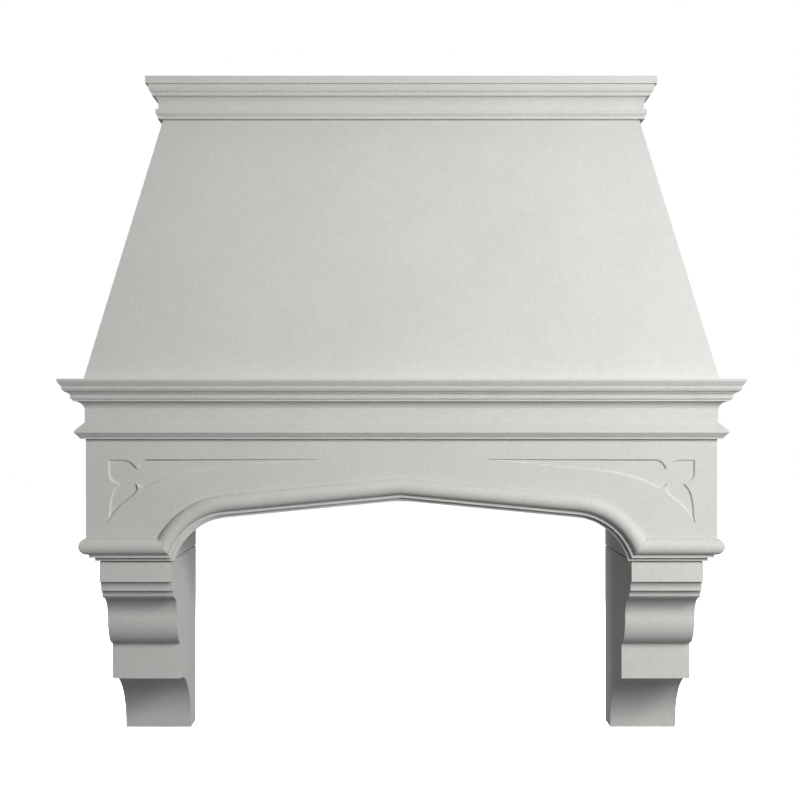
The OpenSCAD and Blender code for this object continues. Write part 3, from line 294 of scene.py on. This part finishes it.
lintel_stone = stone_material("cast_stone_lintel", STONE, STONE_DARK, STONE_WORN, 5.0, 0.8)
lintel = ease(dress("arched_lintel", lintel_stone), ARRIS, flatten=False)


def sunk_rims(piece):
    """The outlines of the sinkings, as loops of points (x, z) read off the casting's face."""
    solid = bmesh.new()
    solid.from_mesh(piece.data)
    bmesh.ops.remove_doubles(solid, verts=solid.verts, dist=TOUCH)
    bmesh.ops.dissolve_limit(solid, angle_limit=FLAT_TURN, verts=solid.verts, edges=solid.edges)
    follows = {}
    for edge in solid.edges:
        on_face = all(abs(v.co.y - FRIEZE_FACE) < TOUCH for v in edge.verts)
        walls = [f for f in edge.link_faces
                 if abs(f.normal.y) < SQUARE_ON
                 and any(abs(v.co.y - SUNK_FLOOR) < TOUCH for v in f.verts)]
        if on_face and walls:
            for a, b in (tuple(edge.verts), tuple(reversed(tuple(edge.verts)))):
                follows.setdefault(a.index, []).append(b.index)
    solid.verts.ensure_lookup_table()
    loops = []
    left = set(follows)
    while left:
        start = min(left)
        walk = [start]
        left.discard(start)
        while any(n in left for n in follows[walk[-1]]):
            walk.append(next(n for n in follows[walk[-1]] if n in left))
            left.discard(walk[-1])
        loops.append([Vector((solid.verts[n].co.x, solid.verts[n].co.z)) for n in walk])
    solid.free()
    return loops


def set_in(loop, width):
    """A loop of points moved inwards by width, with long points cut short."""
    area = sum(a.x * b.y - b.x * a.y for a, b in zip(loop, loop[1:] + loop[:1]))
    turn = 1.0 if area > 0.0 else -1.0
    moved = []
    for before, here, after in zip(loop[-1:] + loop[:-1], loop, loop[1:] + loop[:1]):
        first = (here - before).normalized().orthogonal() * turn
        second = (after - here).normalized().orthogonal() * turn
        middle = (first + second).normalized()
        moved.append(here + middle * width / max(MITRE_LIMIT, middle.dot(first)))
    return moved


def new_piece(name, points, faces, material, body):
    """A closed mesh piece that moves with a body."""
    shape = bmesh.new()
    corners = [shape.verts.new(point) for point in points]
    for face in faces:
        shape.faces.new([corners[n] for n in face])
    bmesh.ops.recalc_face_normals(shape, faces=shape.faces)
    mesh = bpy.data.meshes.new(name)
    shape.to_mesh(mesh)
    shape.free()
    mesh.materials.append(material)
    piece = bpy.data.objects.new(name, mesh)
    scene.collection.objects.link(piece)
    soften(piece, CURVE_ANGLE)
    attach(piece, body)
    return piece


def slope_piece(name, loop):
    """The sloped side of one sinking, from the rounded rim down to the sunk floor."""
    bottom = SUNK_FLOOR + OVER_FLOOR
    rings = ((set_in(loop, -ARRIS), FRIEZE_FACE - TOUCH), (set_in(loop, SLOPE), bottom),
             (set_in(loop, -BEHIND_RIM), bottom))
    count = len(loop)
    points = [(p.x, depth, p.y) for ring, depth in rings for p in ring]
    faces = [(k * count + i, k * count + (i + 1) % count, (k + 1) % 3 * count + (i + 1) % count,
              (k + 1) % 3 * count + i) for k in range(3) for i in range(count)]
    return new_piece(name, points, faces, lintel_stone, "hood")


for loop in sunk_rims(lintel):
    side = "left" if loop[0].x < 0.0 else "right"
    slope_piece(f"spandrel_slope_{side}", loop)

# The mantel. A cornice shelf of one casting, open inside, sits on the lintel: a bed mould, a cove,
# a cyma and small fillets, returned and mitred round both ends.

MOULDING_ANGLE = 14.0

mantel_stone = stone_material("cast_stone_mantel", STONE, STONE_DARK, STONE_WORN, 6.0, 0.9)
ease(dress("mantel_cornice", mantel_stone), ARRIS, MOULDING_ANGLE)

# The chimney breast. A hollow tapered casting stands on the mantel and hides the blower and the duct.
# Its faces lean in, and it is rubbed flat before it is washed down with weak acid.

chimney_stone = stone_material("cast_stone_chimney", STONE, STONE_DARK, STONE_WORN, 3.5, 0.7)
ease(dress("chimney_shell", chimney_stone), ARRIS)

# The crown. A bed mould, a wide cove and a square fillet finish the top. It is one casting on three
# sides, open at the wall, and it is bolted back to a steel tie.

crown_stone = stone_material("cast_stone_crown", STONE, STONE_DARK, STONE_WORN, 6.0, 0.8)
ease(dress("crown_moulding", crown_stone), ARRIS, MOULDING_ANGLE)

# The dowels, bolts and screws. Stainless dowels pin each course to the next, and zinc plated bolts and
# screws hold the steel to the wall and to the stone. Plating is dull, faintly blue and scuffed.

PLATED = (0.560, 0.575, 0.590, 1.0)
PLATED_DULL = (0.400, 0.405, 0.400, 1.0)
PLATING_GRAIN = 0.0001
FOLD_ANGLE = 35.0
FASTENER_EDGE = 0.0004

plated, tree, surface = new_material("zinc_plated", Metallic=1.0, Roughness=0.38)
place = put(tree, "ShaderNodeTexCoord").outputs["Object"]
cloud = noise(tree, place, 90.0, 4.0, 0.6)
dulled = blend_colour(tree, spread(tree, cloud, 0.35, 0.65), PLATED_DULL, PLATED)
tree.links.new(dulled, surface.inputs["Base Color"])
tree.links.new(spread(tree, cloud, 0.3, 0.7, 0.48, 0.28), surface.inputs["Roughness"])
bump(tree, surface, noise(tree, place, 1400.0, 2.0), PLATING_GRAIN)
for name in ("course_dowels", "ledger_bolts", "crown_tie_bolts", "cleat_screws", "rail_screws"):
    ease(dress(name, plated), FASTENER_EDGE, FOLD_ANGLE, 1)

# The steel behind the stone. A folded ledger on the wall carries the mantel, a tube and plate bracket runs
# into each corbel, and a flat tie holds the crown. All of it is hot dip galvanised, with a faint spangle.

ZINC = (0.470, 0.485, 0.500, 1.0)
ZINC_LIGHT = (0.640, 0.655, 0.670, 1.0)
ZINC_BLOOM = (0.780, 0.785, 0.780, 1.0)
SPANGLE_DEPTH = 0.00015
SECTION_EDGE = 0.0008


def build_spangle_group():
    """The frost of crystals that molten zinc leaves, each one catching the light in its own way."""
    tree, given, gone = new_group(
        "zinc_spangle", {"Scale": 90.0, "Bloom": 0.35},
        {"Crystal": "NodeSocketFloat", "Bloom": "NodeSocketFloat", "Height": "NodeSocketFloat"})
    place = put(tree, "ShaderNodeTexCoord").outputs["Object"]
    wander = put(tree, "ShaderNodeTexNoise", {"Vector": place, "Scale": 60.0, "Detail": 2.0})
    bent = put(tree, "ShaderNodeVectorMath", {0: wander.outputs["Color"], "Scale": 0.012}, operation="SCALE")
    moved = put(tree, "ShaderNodeVectorMath", {0: place, 1: bent.outputs[0]}, operation="ADD")
    cells = put(tree, "ShaderNodeTexVoronoi",
                {"Vector": moved.outputs[0], "Scale": given.outputs["Scale"], "Randomness": 1.0})
    crystal = put(tree, "ShaderNodeSeparateColor", {0: cells.outputs["Color"]}).outputs[0]
    frost = noise(tree, place, 14.0, 6.0, 0.65)
    bloom = maths(tree, "MULTIPLY", spread(tree, frost, 0.52, 0.74), given.outputs["Bloom"], clamp=True)
    height = maths(tree, "ADD", maths(tree, "MULTIPLY", crystal, 0.3), noise(tree, place, 700.0, 2.0))
    for label, value in (("Crystal", crystal), ("Bloom", bloom), ("Height", height)):
        tree.links.new(value, gone.inputs[label])
    return tree


spangle_group = build_spangle_group()


def zinc_material(name, scale, bloom, rough):
    """Galvanised steel, from bright sheet with a small spangle to dull dipped sections."""
    material, tree, surface = new_material(name, Metallic=1.0, Roughness=rough)
    frost = put(tree, "ShaderNodeGroup", {}, node_tree=spangle_group)
    frost.inputs["Scale"].default_value = scale
    frost.inputs["Bloom"].default_value = bloom
    colour = blend_colour(tree, frost.outputs["Crystal"], ZINC, ZINC_LIGHT)
    colour = blend_colour(tree, frost.outputs["Bloom"], colour, ZINC_BLOOM)
    tree.links.new(colour, surface.inputs["Base Color"])
    dull = maths(tree, "MULTIPLY", frost.outputs["Bloom"], 0.35)
    grade = spread(tree, frost.outputs["Crystal"], 0.0, 1.0, rough + 0.08, rough - 0.08)
    tree.links.new(maths(tree, "ADD", grade, dull, clamp=True), surface.inputs["Roughness"])
    bump(tree, surface, frost.outputs["Height"], SPANGLE_DEPTH, 0.6)
    return material


dipped = zinc_material("hot_dip_zinc", 70.0, 0.7, 0.46)
for name in ("wall_ledger", "corbel_bracket_left", "corbel_bracket_right", "crown_tie", "chimney_cleats"):
    ease(dress(name, dipped), SECTION_EDGE, FOLD_ANGLE)

# The liner. A stainless tray closes the opening between the corbels. Its flanges rest on two galvanised
# rails that are screwed inside the lintel's legs, and it carries the filters, the lamps and the controls.

STEEL = (0.470, 0.475, 0.480, 1.0)
STEEL_LIGHT = (0.600, 0.605, 0.610, 1.0)
BRUSH_DEPTH = 0.00004
SHEET_EDGE = 0.0004
TRAY_EDGE = 0.0005


def build_brushed_group():
    """Brushing: fine scratches drawn out along one axis, with a few deeper ones, and greasy handling."""
    tree, given, gone = new_group(
        "brushed", {"Stretch": (6.0, 900.0, 900.0), "Smear Scale": 9.0},
        {"Brush": "NodeSocketFloat", "Smear": "NodeSocketFloat"})
    place = put(tree, "ShaderNodeTexCoord").outputs["Object"]
    drawn = put(tree, "ShaderNodeVectorMath", {0: place, 1: given.outputs["Stretch"]}, operation="MULTIPLY")
    fine = noise(tree, drawn.outputs[0], 1.0, 3.0, 0.7)
    deep = noise(tree, drawn.outputs[0], 0.31, 2.0, 0.5)
    brush = maths(tree, "ADD", maths(tree, "MULTIPLY", fine, 0.7), maths(tree, "MULTIPLY", deep, 0.3))
    smear = spread(tree, noise(tree, place, given.outputs["Smear Scale"], 5.0, 0.6), 0.42, 0.70)
    for label, value in (("Brush", brush), ("Smear", smear)):
        tree.links.new(value, gone.inputs[label])
    return tree


brushed_group = build_brushed_group()


def brushed_material(name, stretch, rough=0.30):
    """Brushed metal, its scratches running along the axis that stretch leaves long."""
    material, tree, surface = new_material(name, Metallic=1.0, Roughness=rough, Anisotropic=0.4)
    group = put(tree, "ShaderNodeGroup", {}, node_tree=brushed_group)
    group.inputs["Stretch"].default_value = stretch
    colour = blend_colour(tree, spread(tree, group.outputs["Brush"], 0.35, 0.65), STEEL, STEEL_LIGHT)
    tree.links.new(colour, surface.inputs["Base Color"])
    grade = spread(tree, group.outputs["Brush"], 0.3, 0.7, rough + 0.07, rough - 0.05)
    smeared = maths(tree, "MULTIPLY", group.outputs["Smear"], 0.12)
    tree.links.new(maths(tree, "ADD", grade, smeared, clamp=True), surface.inputs["Roughness"])
    bump(tree, surface, group.outputs["Brush"], BRUSH_DEPTH, 0.5)
    return material


ALONG_X = (6.0, 900.0, 900.0)
ALONG_Y = (900.0, 6.0, 900.0)
brushed_long = brushed_material("brushed_steel_long", ALONG_X)
brushed_deep = brushed_material("brushed_steel_deep", ALONG_Y)
sheet_zinc = zinc_material("sheet_zinc", 130.0, 0.25, 0.36)
for name in ("liner_rail_left", "liner_rail_right", "filter_catches"):
    ease(dress(name, sheet_zinc), SHEET_EDGE, FOLD_ANGLE, 1)
for name, material in (("liner_pan", brushed_long), ("grease_gutter", brushed_long),
                       ("grease_cup", brushed_deep)):
    ease(dress(name, material), TRAY_EDGE, FOLD_ANGLE)

# The grease filters. Three cassettes of folded stainless channels, nested so that the air turns twice, sit
# in frames that hook over the gutter. Each frame has a wire bail at its front edge to pull it down by.

FRAME_EDGE = 0.0006
FINE_EDGE = 0.0003
FILTER_PITCH = 0.345
FRAME_UNDERSIDE = -0.2382
FRONT_RAIL = -0.374
RIVETS_AT = (-0.130, -0.060, 0.060, 0.130)
RIVET = ((0.0022, 0.0004), (0.0022, 0.0), (0.0019, -0.0004), (0.0010, -0.0007))
RIVET_SIDES = 20

for number in (1, 2, 3):
    ease(dress(f"filter_frame_{number}", brushed_long), FRAME_EDGE, FOLD_ANGLE)
    ease(dress(f"filter_baffles_{number}", brushed_deep), FINE_EDGE, FOLD_ANGLE, 1)
    ease(dress(f"filter_bail_{number}", brushed_long), FINE_EDGE, FOLD_ANGLE, 1)


def turned(profile, sides, centres):
    """Copies of one small turned form, whose profile is given by radius and height."""
    points = []
    faces = []
    for x, y, z in centres:
        first = len(points)
        for radius, rise in profile:
            for k in range(sides):
                angle = 2.0 * math.pi * k / sides
                points.append((x + radius * math.cos(angle), y + radius * math.sin(angle), z + rise))
        for ring in range(len(profile) - 1):
            low = first + ring * sides
            faces += [(low + k, low + (k + 1) % sides, low + sides + (k + 1) % sides, low + sides + k)
                      for k in range(sides)]
        faces.append(tuple(range(first, first + sides)))
        faces.append(tuple(range(len(points) - sides, len(points))))
    return points, faces


for number in (1, 2, 3):
    middle = (number - 2) * FILTER_PITCH
    centres = [(middle + x, FRONT_RAIL, FRAME_UNDERSIDE) for x in RIVETS_AT]
    points, faces = turned(RIVET, RIVET_SIDES, centres)
    new_piece(f"filter_rivets_{number}", points, faces, plated, f"filter_{number}")

# The controls. Two turned knobs stand under a plate at the liner's front edge: a switch for the fan and a
# dimmer for the lamps. Each has an engraved line, and dots round it on the plate mark its travel.

KNOB = (0.420, 0.425, 0.430, 1.0)
KNOB_LIGHT = (0.580, 0.585, 0.590, 1.0)
LATHE_STRETCH = (20.0, 20.0, 2600.0)
LATHE_DEPTH = 0.00005

turned_steel, tree, surface = new_material("turned_metal", Metallic=1.0, Roughness=0.27)
place = put(tree, "ShaderNodeTexCoord").outputs["Object"]
rings = put(tree, "ShaderNodeVectorMath", {0: place, 1: LATHE_STRETCH}, operation="MULTIPLY")
lathe = noise(tree, rings.outputs[0], 1.0, 2.0, 0.6)
ringed = blend_colour(tree, spread(tree, lathe, 0.35, 0.65), KNOB, KNOB_LIGHT)
tree.links.new(ringed, surface.inputs["Base Color"])
tree.links.new(spread(tree, lathe, 0.3, 0.7, 0.33, 0.22), surface.inputs["Roughness"])
bump(tree, surface, lathe, LATHE_DEPTH, 0.5)

MOULDED = (0.022, 0.022, 0.024, 1.0)
MOULDED_DUST = (0.060, 0.058, 0.055, 1.0)
SPARK_DEPTH = 0.00008
TURNED_ANGLE = 28.0

moulded, tree, surface = new_material("moulded_black", Roughness=0.55)
place = put(tree, "ShaderNodeTexCoord").outputs["Object"]
spark = noise(tree, place, 2200.0, 2.0, 0.6)
dust = spread(tree, noise(tree, place, 40.0, 5.0, 0.65), 0.50, 0.75)
tree.links.new(blend_colour(tree, dust, MOULDED, MOULDED_DUST), surface.inputs["Base Color"])
tree.links.new(spread(tree, spark, 0.3, 0.7, 0.45, 0.65), surface.inputs["Roughness"])
bump(tree, surface, spark, SPARK_DEPTH, 0.6)

ease(dress("control_plate", brushed_long), SHEET_EDGE, FOLD_ANGLE)
for name in ("fan_knob", "lamp_knob"):
    ease(dress(name, turned_steel), SHEET_EDGE, TURNED_ANGLE)
for name in ("fan_switch", "lamp_dimmer"):
    ease(dress(name, moulded), SHEET_EDGE, FOLD_ANGLE)

KNOB_X = 0.060
KNOB_Y = -0.447
PLATE_FACE = -0.2412
KNOB_FACE = -0.2609
KNURL_RIDGES = 56
KNURL_HIGH = (-0.2450, 0.01472)
KNURL_LOW = (-0.2545, 0.01393)
RIDGE = 0.0004
ROOT = -0.0001
LINE_FROM = 0.0018
LINE_TO = 0.0112
LINE_HALF = 0.0006
LINE_PROUD = 0.0002
END_STEPS = 8
DOTS_OUT = 0.0182
DOT_SIDES = 20
SWITCH_STEPS = 4
DIMMER_STEPS = 7
KNOB_TRAVEL = math.radians(270.0)


def knurl(name, x, body):
    """A band of fine ridges round a knob, which tapers with it."""
    rings = [(KNURL_HIGH, ROOT), (KNURL_HIGH, RIDGE), (KNURL_LOW, RIDGE), (KNURL_LOW, ROOT)]
    count = 2 * KNURL_RIDGES
    points = []
    for (level, radius), proud in rings:
        for k in range(count):
            out = radius + (proud if k % 2 else min(proud, 0.0))
            angle = 2.0 * math.pi * k / count
            points.append((x + out * math.cos(angle), KNOB_Y + out * math.sin(angle), level))
    faces = [(r * count + k, r * count + (k + 1) % count, (r + 1) % 4 * count + (k + 1) % count,
              (r + 1) % 4 * count + k) for r in range(4) for k in range(count)]
    new_piece(name, points, faces, turned_steel, body)


def index_line(name, x, body):
    """The filled line on the knob's face, from near the middle towards the rim, with round ends."""
    outline = []
    for y, turn in ((KNOB_Y + LINE_FROM, math.pi), (KNOB_Y + LINE_TO, 0.0)):
        for k in range(END_STEPS + 1):
            angle = turn + math.pi * k / END_STEPS
            outline.append((x + LINE_HALF * math.cos(angle), y + LINE_HALF * math.sin(angle)))
    count = len(outline)
    points = [(a, b, KNOB_FACE + rise) for rise in (LINE_PROUD, ROOT) for a, b in outline]
    faces = [(k, (k + 1) % count, count + (k + 1) % count, count + k) for k in range(count)]
    faces += [tuple(range(count)), tuple(range(count, 2 * count))]
    new_piece(name, points, faces, moulded, body)


def travel_dots(name, x, steps, least, most):
    """Filled dots on the plate, growing with the setting, from the knob's rest to its stop."""
    points = []
    faces = []
    for step in range(steps):
        share = step / (steps - 1)
        angle = math.pi / 2.0 + KNOB_TRAVEL * share
        radius = least + (most - least) * share
        centre = (x + DOTS_OUT * math.cos(angle), KNOB_Y + DOTS_OUT * math.sin(angle), PLATE_FACE)
        dome = ((radius, 0.0003), (radius, -0.00008), (radius * 0.8, -0.00016))
        more, sides = turned(dome, DOT_SIDES, [centre])
        faces += [tuple(n + len(points) for n in side) for side in sides]
        points += more
    new_piece(name, points, faces, moulded, "hood")


for name, x, body, steps, least in (("fan", -KNOB_X, "fan_control", SWITCH_STEPS, 0.0006),
                                    ("lamp", KNOB_X, "lamp_control", DIMMER_STEPS, 0.0003)):
    knurl(f"{name}_knob_knurl", x, body)
    index_line(f"{name}_knob_line", x, body)
    travel_dots(f"{name}_dots", x, steps, least, 0.0010)

# The lamps. Two stainless cans drop through the tray near the front, each with a white board of diodes
# behind a lens of pressed glass.

WHITE = (1.0, 1.0, 1.0, 1.0)
FROST = (0.900, 0.925, 0.930, 1.0)
BOARD = (0.800, 0.800, 0.770, 1.0)
DIODE = (0.820, 0.640, 0.200, 1.0)
PRISM_DEPTH = 0.0009
WEAVE_DEPTH = 0.0001
BOARD_EDGE = 0.0002

glass, tree, surface = new_material("pressed_glass", Roughness=0.28, IOR=1.5, Transmission_Weight=0.75)
place = put(tree, "ShaderNodeTexCoord").outputs["Object"]
prisms = put(tree, "ShaderNodeTexVoronoi", {"Vector": place, "Scale": 240.0, "Randomness": 0.15})
frosted = noise(tree, place, 300.0, 3.0)
clouded = blend_colour(tree, spread(tree, frosted, 0.3, 0.7), FROST, WHITE)
tree.links.new(clouded, surface.inputs["Base Color"])
tree.links.new(spread(tree, frosted, 0.3, 0.7, 0.20, 0.36), surface.inputs["Roughness"])
bump(tree, surface, prisms.outputs["Distance"], PRISM_DEPTH, 0.7)

board, tree, surface = new_material("diode_board", Roughness=0.42)
place = put(tree, "ShaderNodeTexCoord").outputs["Object"]
weave = noise(tree, place, 500.0, 3.0)
spots = put(tree, "ShaderNodeTexVoronoi", {"Vector": place, "Scale": 150.0, "Randomness": 0.0})
phosphor = spread(tree, spots.outputs["Distance"], 0.26, 0.22)
shade = blend_colour(tree, spread(tree, weave, 0.3, 0.7, 0.0, 0.3), BOARD, WHITE)
tree.links.new(blend_colour(tree, phosphor, shade, DIODE), surface.inputs["Base Color"])
bump(tree, surface, weave, WEAVE_DEPTH, 0.5)
for side in ("left", "right"):
    ease(dress(f"lamp_can_{side}", brushed_long), SHEET_EDGE, FOLD_ANGLE)
    soften(dress(f"lamp_lens_{side}", glass), FOLD_ANGLE)
    ease(dress(f"lamp_board_{side}", board), BOARD_EDGE, FOLD_ANGLE, 1)

# The blower. A galvanised plenum over the filters feeds a double inlet wheel in a folded scroll, turned by
# an enamelled motor on a bracket. The wheel and its shaft spin together.

ENAMEL = (0.030, 0.032, 0.036, 1.0)
ENAMEL_WORN = (0.095, 0.098, 0.104, 1.0)
HAMMER_DEPTH = 0.0003
MOTOR_EDGE = 0.0012

enamel, tree, surface = new_material("motor_enamel", Roughness=0.36, Coat_Weight=0.25)
place = put(tree, "ShaderNodeTexCoord").outputs["Object"]
hammer = put(tree, "ShaderNodeTexVoronoi", {"Vector": place, "Scale": 320.0}, feature="SMOOTH_F1")
edges = put(tree, "ShaderNodeGroup", {}, node_tree=edge_group)
scuffed = blend_colour(tree, edges.outputs["Wear"], ENAMEL, ENAMEL_WORN)
tree.links.new(scuffed, surface.inputs["Base Color"])
grade = spread(tree, noise(tree, place, 30.0, 4.0), 0.3, 0.7, 0.30, 0.46)
tree.links.new(grade, surface.inputs["Roughness"])
bump(tree, surface, hammer.outputs["Distance"], HAMMER_DEPTH, 0.4)

for name in ("plenum_box", "blower_scroll", "motor_bracket"):
    ease(dress(name, sheet_zinc), TRAY_EDGE, FOLD_ANGLE, 1)
for name in ("inlet_rings", "blower_wheel"):
    soften(dress(name, sheet_zinc), CURVE_ANGLE)
ease(dress("fan_shaft", plated), FINE_EDGE, FOLD_ANGLE, 1)
ease(dress("fan_motor", enamel), MOTOR_EDGE, FOLD_ANGLE)

# The duct. A formed transition takes the blower's outlet to a round collar with two leaf dampers, and a
# spiral lock seam pipe goes up through the crown, held by a band clamp.

for name in ("duct_transition", "damper_collar", "duct_pipe"):
    soften(dress(name, sheet_zinc), CURVE_ANGLE)
for name in ("damper_flap_front", "damper_flap_rear", "duct_clamp"):
    ease(dress(name, sheet_zinc), FINE_EDGE, FOLD_ANGLE, 1)

DUCT_AXIS = (0.0, -0.190)
DUCT_RADIUS = 0.125
SEAM_FROM = 0.400
SEAM_PITCH = 0.105
SEAM_TURNS = 4
SEAM_STEPS = 72
SEAM = ((-0.0005, -0.0042), (0.0008, -0.0026), (0.0008, 0.0026), (-0.0005, 0.0042))

points = []
for step in range(SEAM_TURNS * SEAM_STEPS + 1):
    angle = 2.0 * math.pi * step / SEAM_STEPS
    for out, up in SEAM:
        radius = DUCT_RADIUS + out
        points.append((DUCT_AXIS[0] + radius * math.cos(angle), DUCT_AXIS[1] + radius * math.sin(angle),
                       SEAM_FROM + SEAM_PITCH * step / SEAM_STEPS + up))
faces = [(4 * n + k, 4 * n + (k + 1) % 4, 4 * n + 4 + (k + 1) % 4, 4 * n + 4 + k)
         for n in range(SEAM_TURNS * SEAM_STEPS) for k in range(4)]
faces += [(0, 1, 2, 3), tuple(len(points) - 4 + k for k in range(4))]
new_piece("duct_lock_seam", points, faces, sheet_zinc, "hood")

# The junction box. A folded box on the tray's back takes the supply through a black nylon gland in
# its side, under a screwed lid.

for name in ("junction_box", "junction_cover"):
    ease(dress(name, sheet_zinc), SHEET_EDGE, FOLD_ANGLE, 1)
ease(dress("cable_gland", moulded), SHEET_EDGE, TURNED_ANGLE)

LID_TOP = -0.0935
SCREWS_X = (0.304, 0.376)
SCREWS_Y = (-0.276, -0.204)
PAN_HEAD = ((0.0032, -0.0004), (0.0032, 0.0006), (0.0026, 0.0015), (0.0013, 0.0016), (0.0012, 0.0005))
HEAD_SIDES = 24

lid_corners = [(x, y, LID_TOP) for x in SCREWS_X for y in SCREWS_Y]
points, faces = turned(PAN_HEAD, HEAD_SIDES, lid_corners)
new_piece("cover_screws", points, faces, plated, "hood")

# The setting for the picture. A pale floor lies well under the hood, where a range would stand, and
# keeps its shadow near by. One broad lamp stands in front to the right, weaker ones stand behind,
# above and far to the left, and the sky gives a fill that grows towards the right.

FLOOR_LEVEL = -1.84
FLOOR_WIDTH = 60.0
PALE = (0.16, 0.16, 0.16, 1.0)
PALE_TO_EYE = (8.0, 8.0, 8.0, 1.0)
SHADED_TO_EYE = (1.1, 1.1, 1.1, 1.0)
SHADE_REACH = 2.0
PALE_REACH = 6.6
PALE_IN_METAL = (1.15, 1.15, 1.15, 1.0)
FILL_LEFT = 0.12
FILL_RIGHT = 0.22
KEY_PLACE = (2.15, -3.7, 1.05)
KEY_TARGET = (0.1, -0.4, 0.0)
KEY_POWER = 164.0
REAR_PLACE = (0.5, 8.4, 4.2)
REAR_TARGET = (0.0, 0.0, 0.1)
REAR_POWER = 440.0
TOP_PLACE = (0.2, -0.1, 3.6)
TOP_TARGET = (0.2, -0.1, 0.0)
TOP_POWER = 36.0
LEFT_PLACE = (-6.5, 0.4, 1.0)
LEFT_TARGET = (-0.8, -0.3, 0.0)
LEFT_POWER = 80.0


def seen_by_eye(tree):
    """The share of rays from the camera, and of those straight off metal or through glass."""
    path = put(tree, "ShaderNodeLightPath")
    shown = maths(tree, "MAXIMUM", path.outputs["Is Glossy Ray"], path.outputs["Is Transmission Ray"])
    direct = maths(tree, "LESS_THAN", path.outputs["Diffuse Depth"], 0.5)
    return path.outputs["Is Camera Ray"], maths(tree, "MULTIPLY", shown, direct)


bpy.ops.mesh.primitive_plane_add(size=FLOOR_WIDTH, location=(0.0, 0.0, FLOOR_LEVEL))
floor = bpy.context.object
floor.name = "floor"
pale = bpy.data.materials.new("pale_floor")
pale.use_nodes = True
tree = pale.node_tree
tree.nodes.clear()
camera_ray, mirrored = seen_by_eye(tree)
place = put(tree, "ShaderNodeNewGeometry").outputs["Position"]
away = put(tree, "ShaderNodeVectorMath", {0: place}, operation="LENGTH").outputs["Value"]
far = spread(tree, away, SHADE_REACH, PALE_REACH)
to_eye = blend_colour(tree, far, SHADED_TO_EYE, PALE_TO_EYE)
paint = blend_colour(tree, mirrored, PALE, PALE_IN_METAL)
paint = blend_colour(tree, camera_ray, paint, to_eye)
matt = put(tree, "ShaderNodeBsdfDiffuse", {"Color": paint})
put(tree, "ShaderNodeOutputMaterial", {"Surface": matt.outputs[0]})
floor.data.materials.append(pale)

world = bpy.data.worlds.new("studio")
scene.world = world
world.use_nodes = True
tree = world.node_tree
tree.nodes.clear()
way = put(tree, "ShaderNodeTexCoord").outputs["Generated"]
right = put(tree, "ShaderNodeSeparateXYZ", {0: way}).outputs["X"]
fill = spread(tree, right, -1.0, 1.0, FILL_LEFT, FILL_RIGHT)
camera_ray, mirrored = seen_by_eye(tree)
shown = maths(tree, "MAXIMUM", camera_ray, mirrored)
strength = maths(tree, "MAXIMUM", shown, fill)
glow = put(tree, "ShaderNodeBackground", {"Color": WHITE, "Strength": strength})
put(tree, "ShaderNodeOutputWorld", {"Surface": glow.outputs[0]})


def soft_lamp(name, place, target, power, width, height):
    """A broad soft lamp aimed at a point of the hood."""
    data = bpy.data.lights.new(name, "AREA")
    data.shape = "RECTANGLE"
    data.size = width
    data.size_y = height
    data.energy = power
    lamp = bpy.data.objects.new(name, data)
    scene.collection.objects.link(lamp)
    lamp.location = place
    lamp.rotation_euler = (Vector(target) - Vector(place)).to_track_quat("-Z", "Y").to_euler()
    lamp.visible_camera = False


soft_lamp("key", KEY_PLACE, KEY_TARGET, KEY_POWER, 1.7, 1.7)
soft_lamp("rear", REAR_PLACE, REAR_TARGET, REAR_POWER, 2.0, 3.0)
soft_lamp("top", TOP_PLACE, TOP_TARGET, TOP_POWER, 2.0, 2.0)
soft_lamp("left", LEFT_PLACE, LEFT_TARGET, LEFT_POWER, 1.0, 2.5)

# The camera stands 4.7 m from the wall at the height of the mantel, square to the hood, as in the
# photograph. Its lens gives the photograph's scale, and its shift puts the hood where it is there.

CAMERA_PLACE = (-0.021, -4.70, -0.035)
IMAGE_WIDTH = 800.0
FOCAL_PIXELS = 1576.8
MIDDLE_X = 393.5
MIDDLE_Y = 416.5
SENSOR = 36.0

eye = bpy.data.cameras.new("eye")
eye.sensor_width = SENSOR
eye.lens = FOCAL_PIXELS * SENSOR / IMAGE_WIDTH
eye.shift_x = (IMAGE_WIDTH / 2 - MIDDLE_X) / IMAGE_WIDTH
eye.shift_y = (MIDDLE_Y - IMAGE_WIDTH / 2) / IMAGE_WIDTH
camera = bpy.data.objects.new("camera", eye)
scene.collection.objects.link(camera)
camera.location = CAMERA_PLACE
camera.rotation_euler = (math.pi / 2, 0.0, 0.0)
scene.camera = camera
scene.view_settings.view_transform = "Standard"
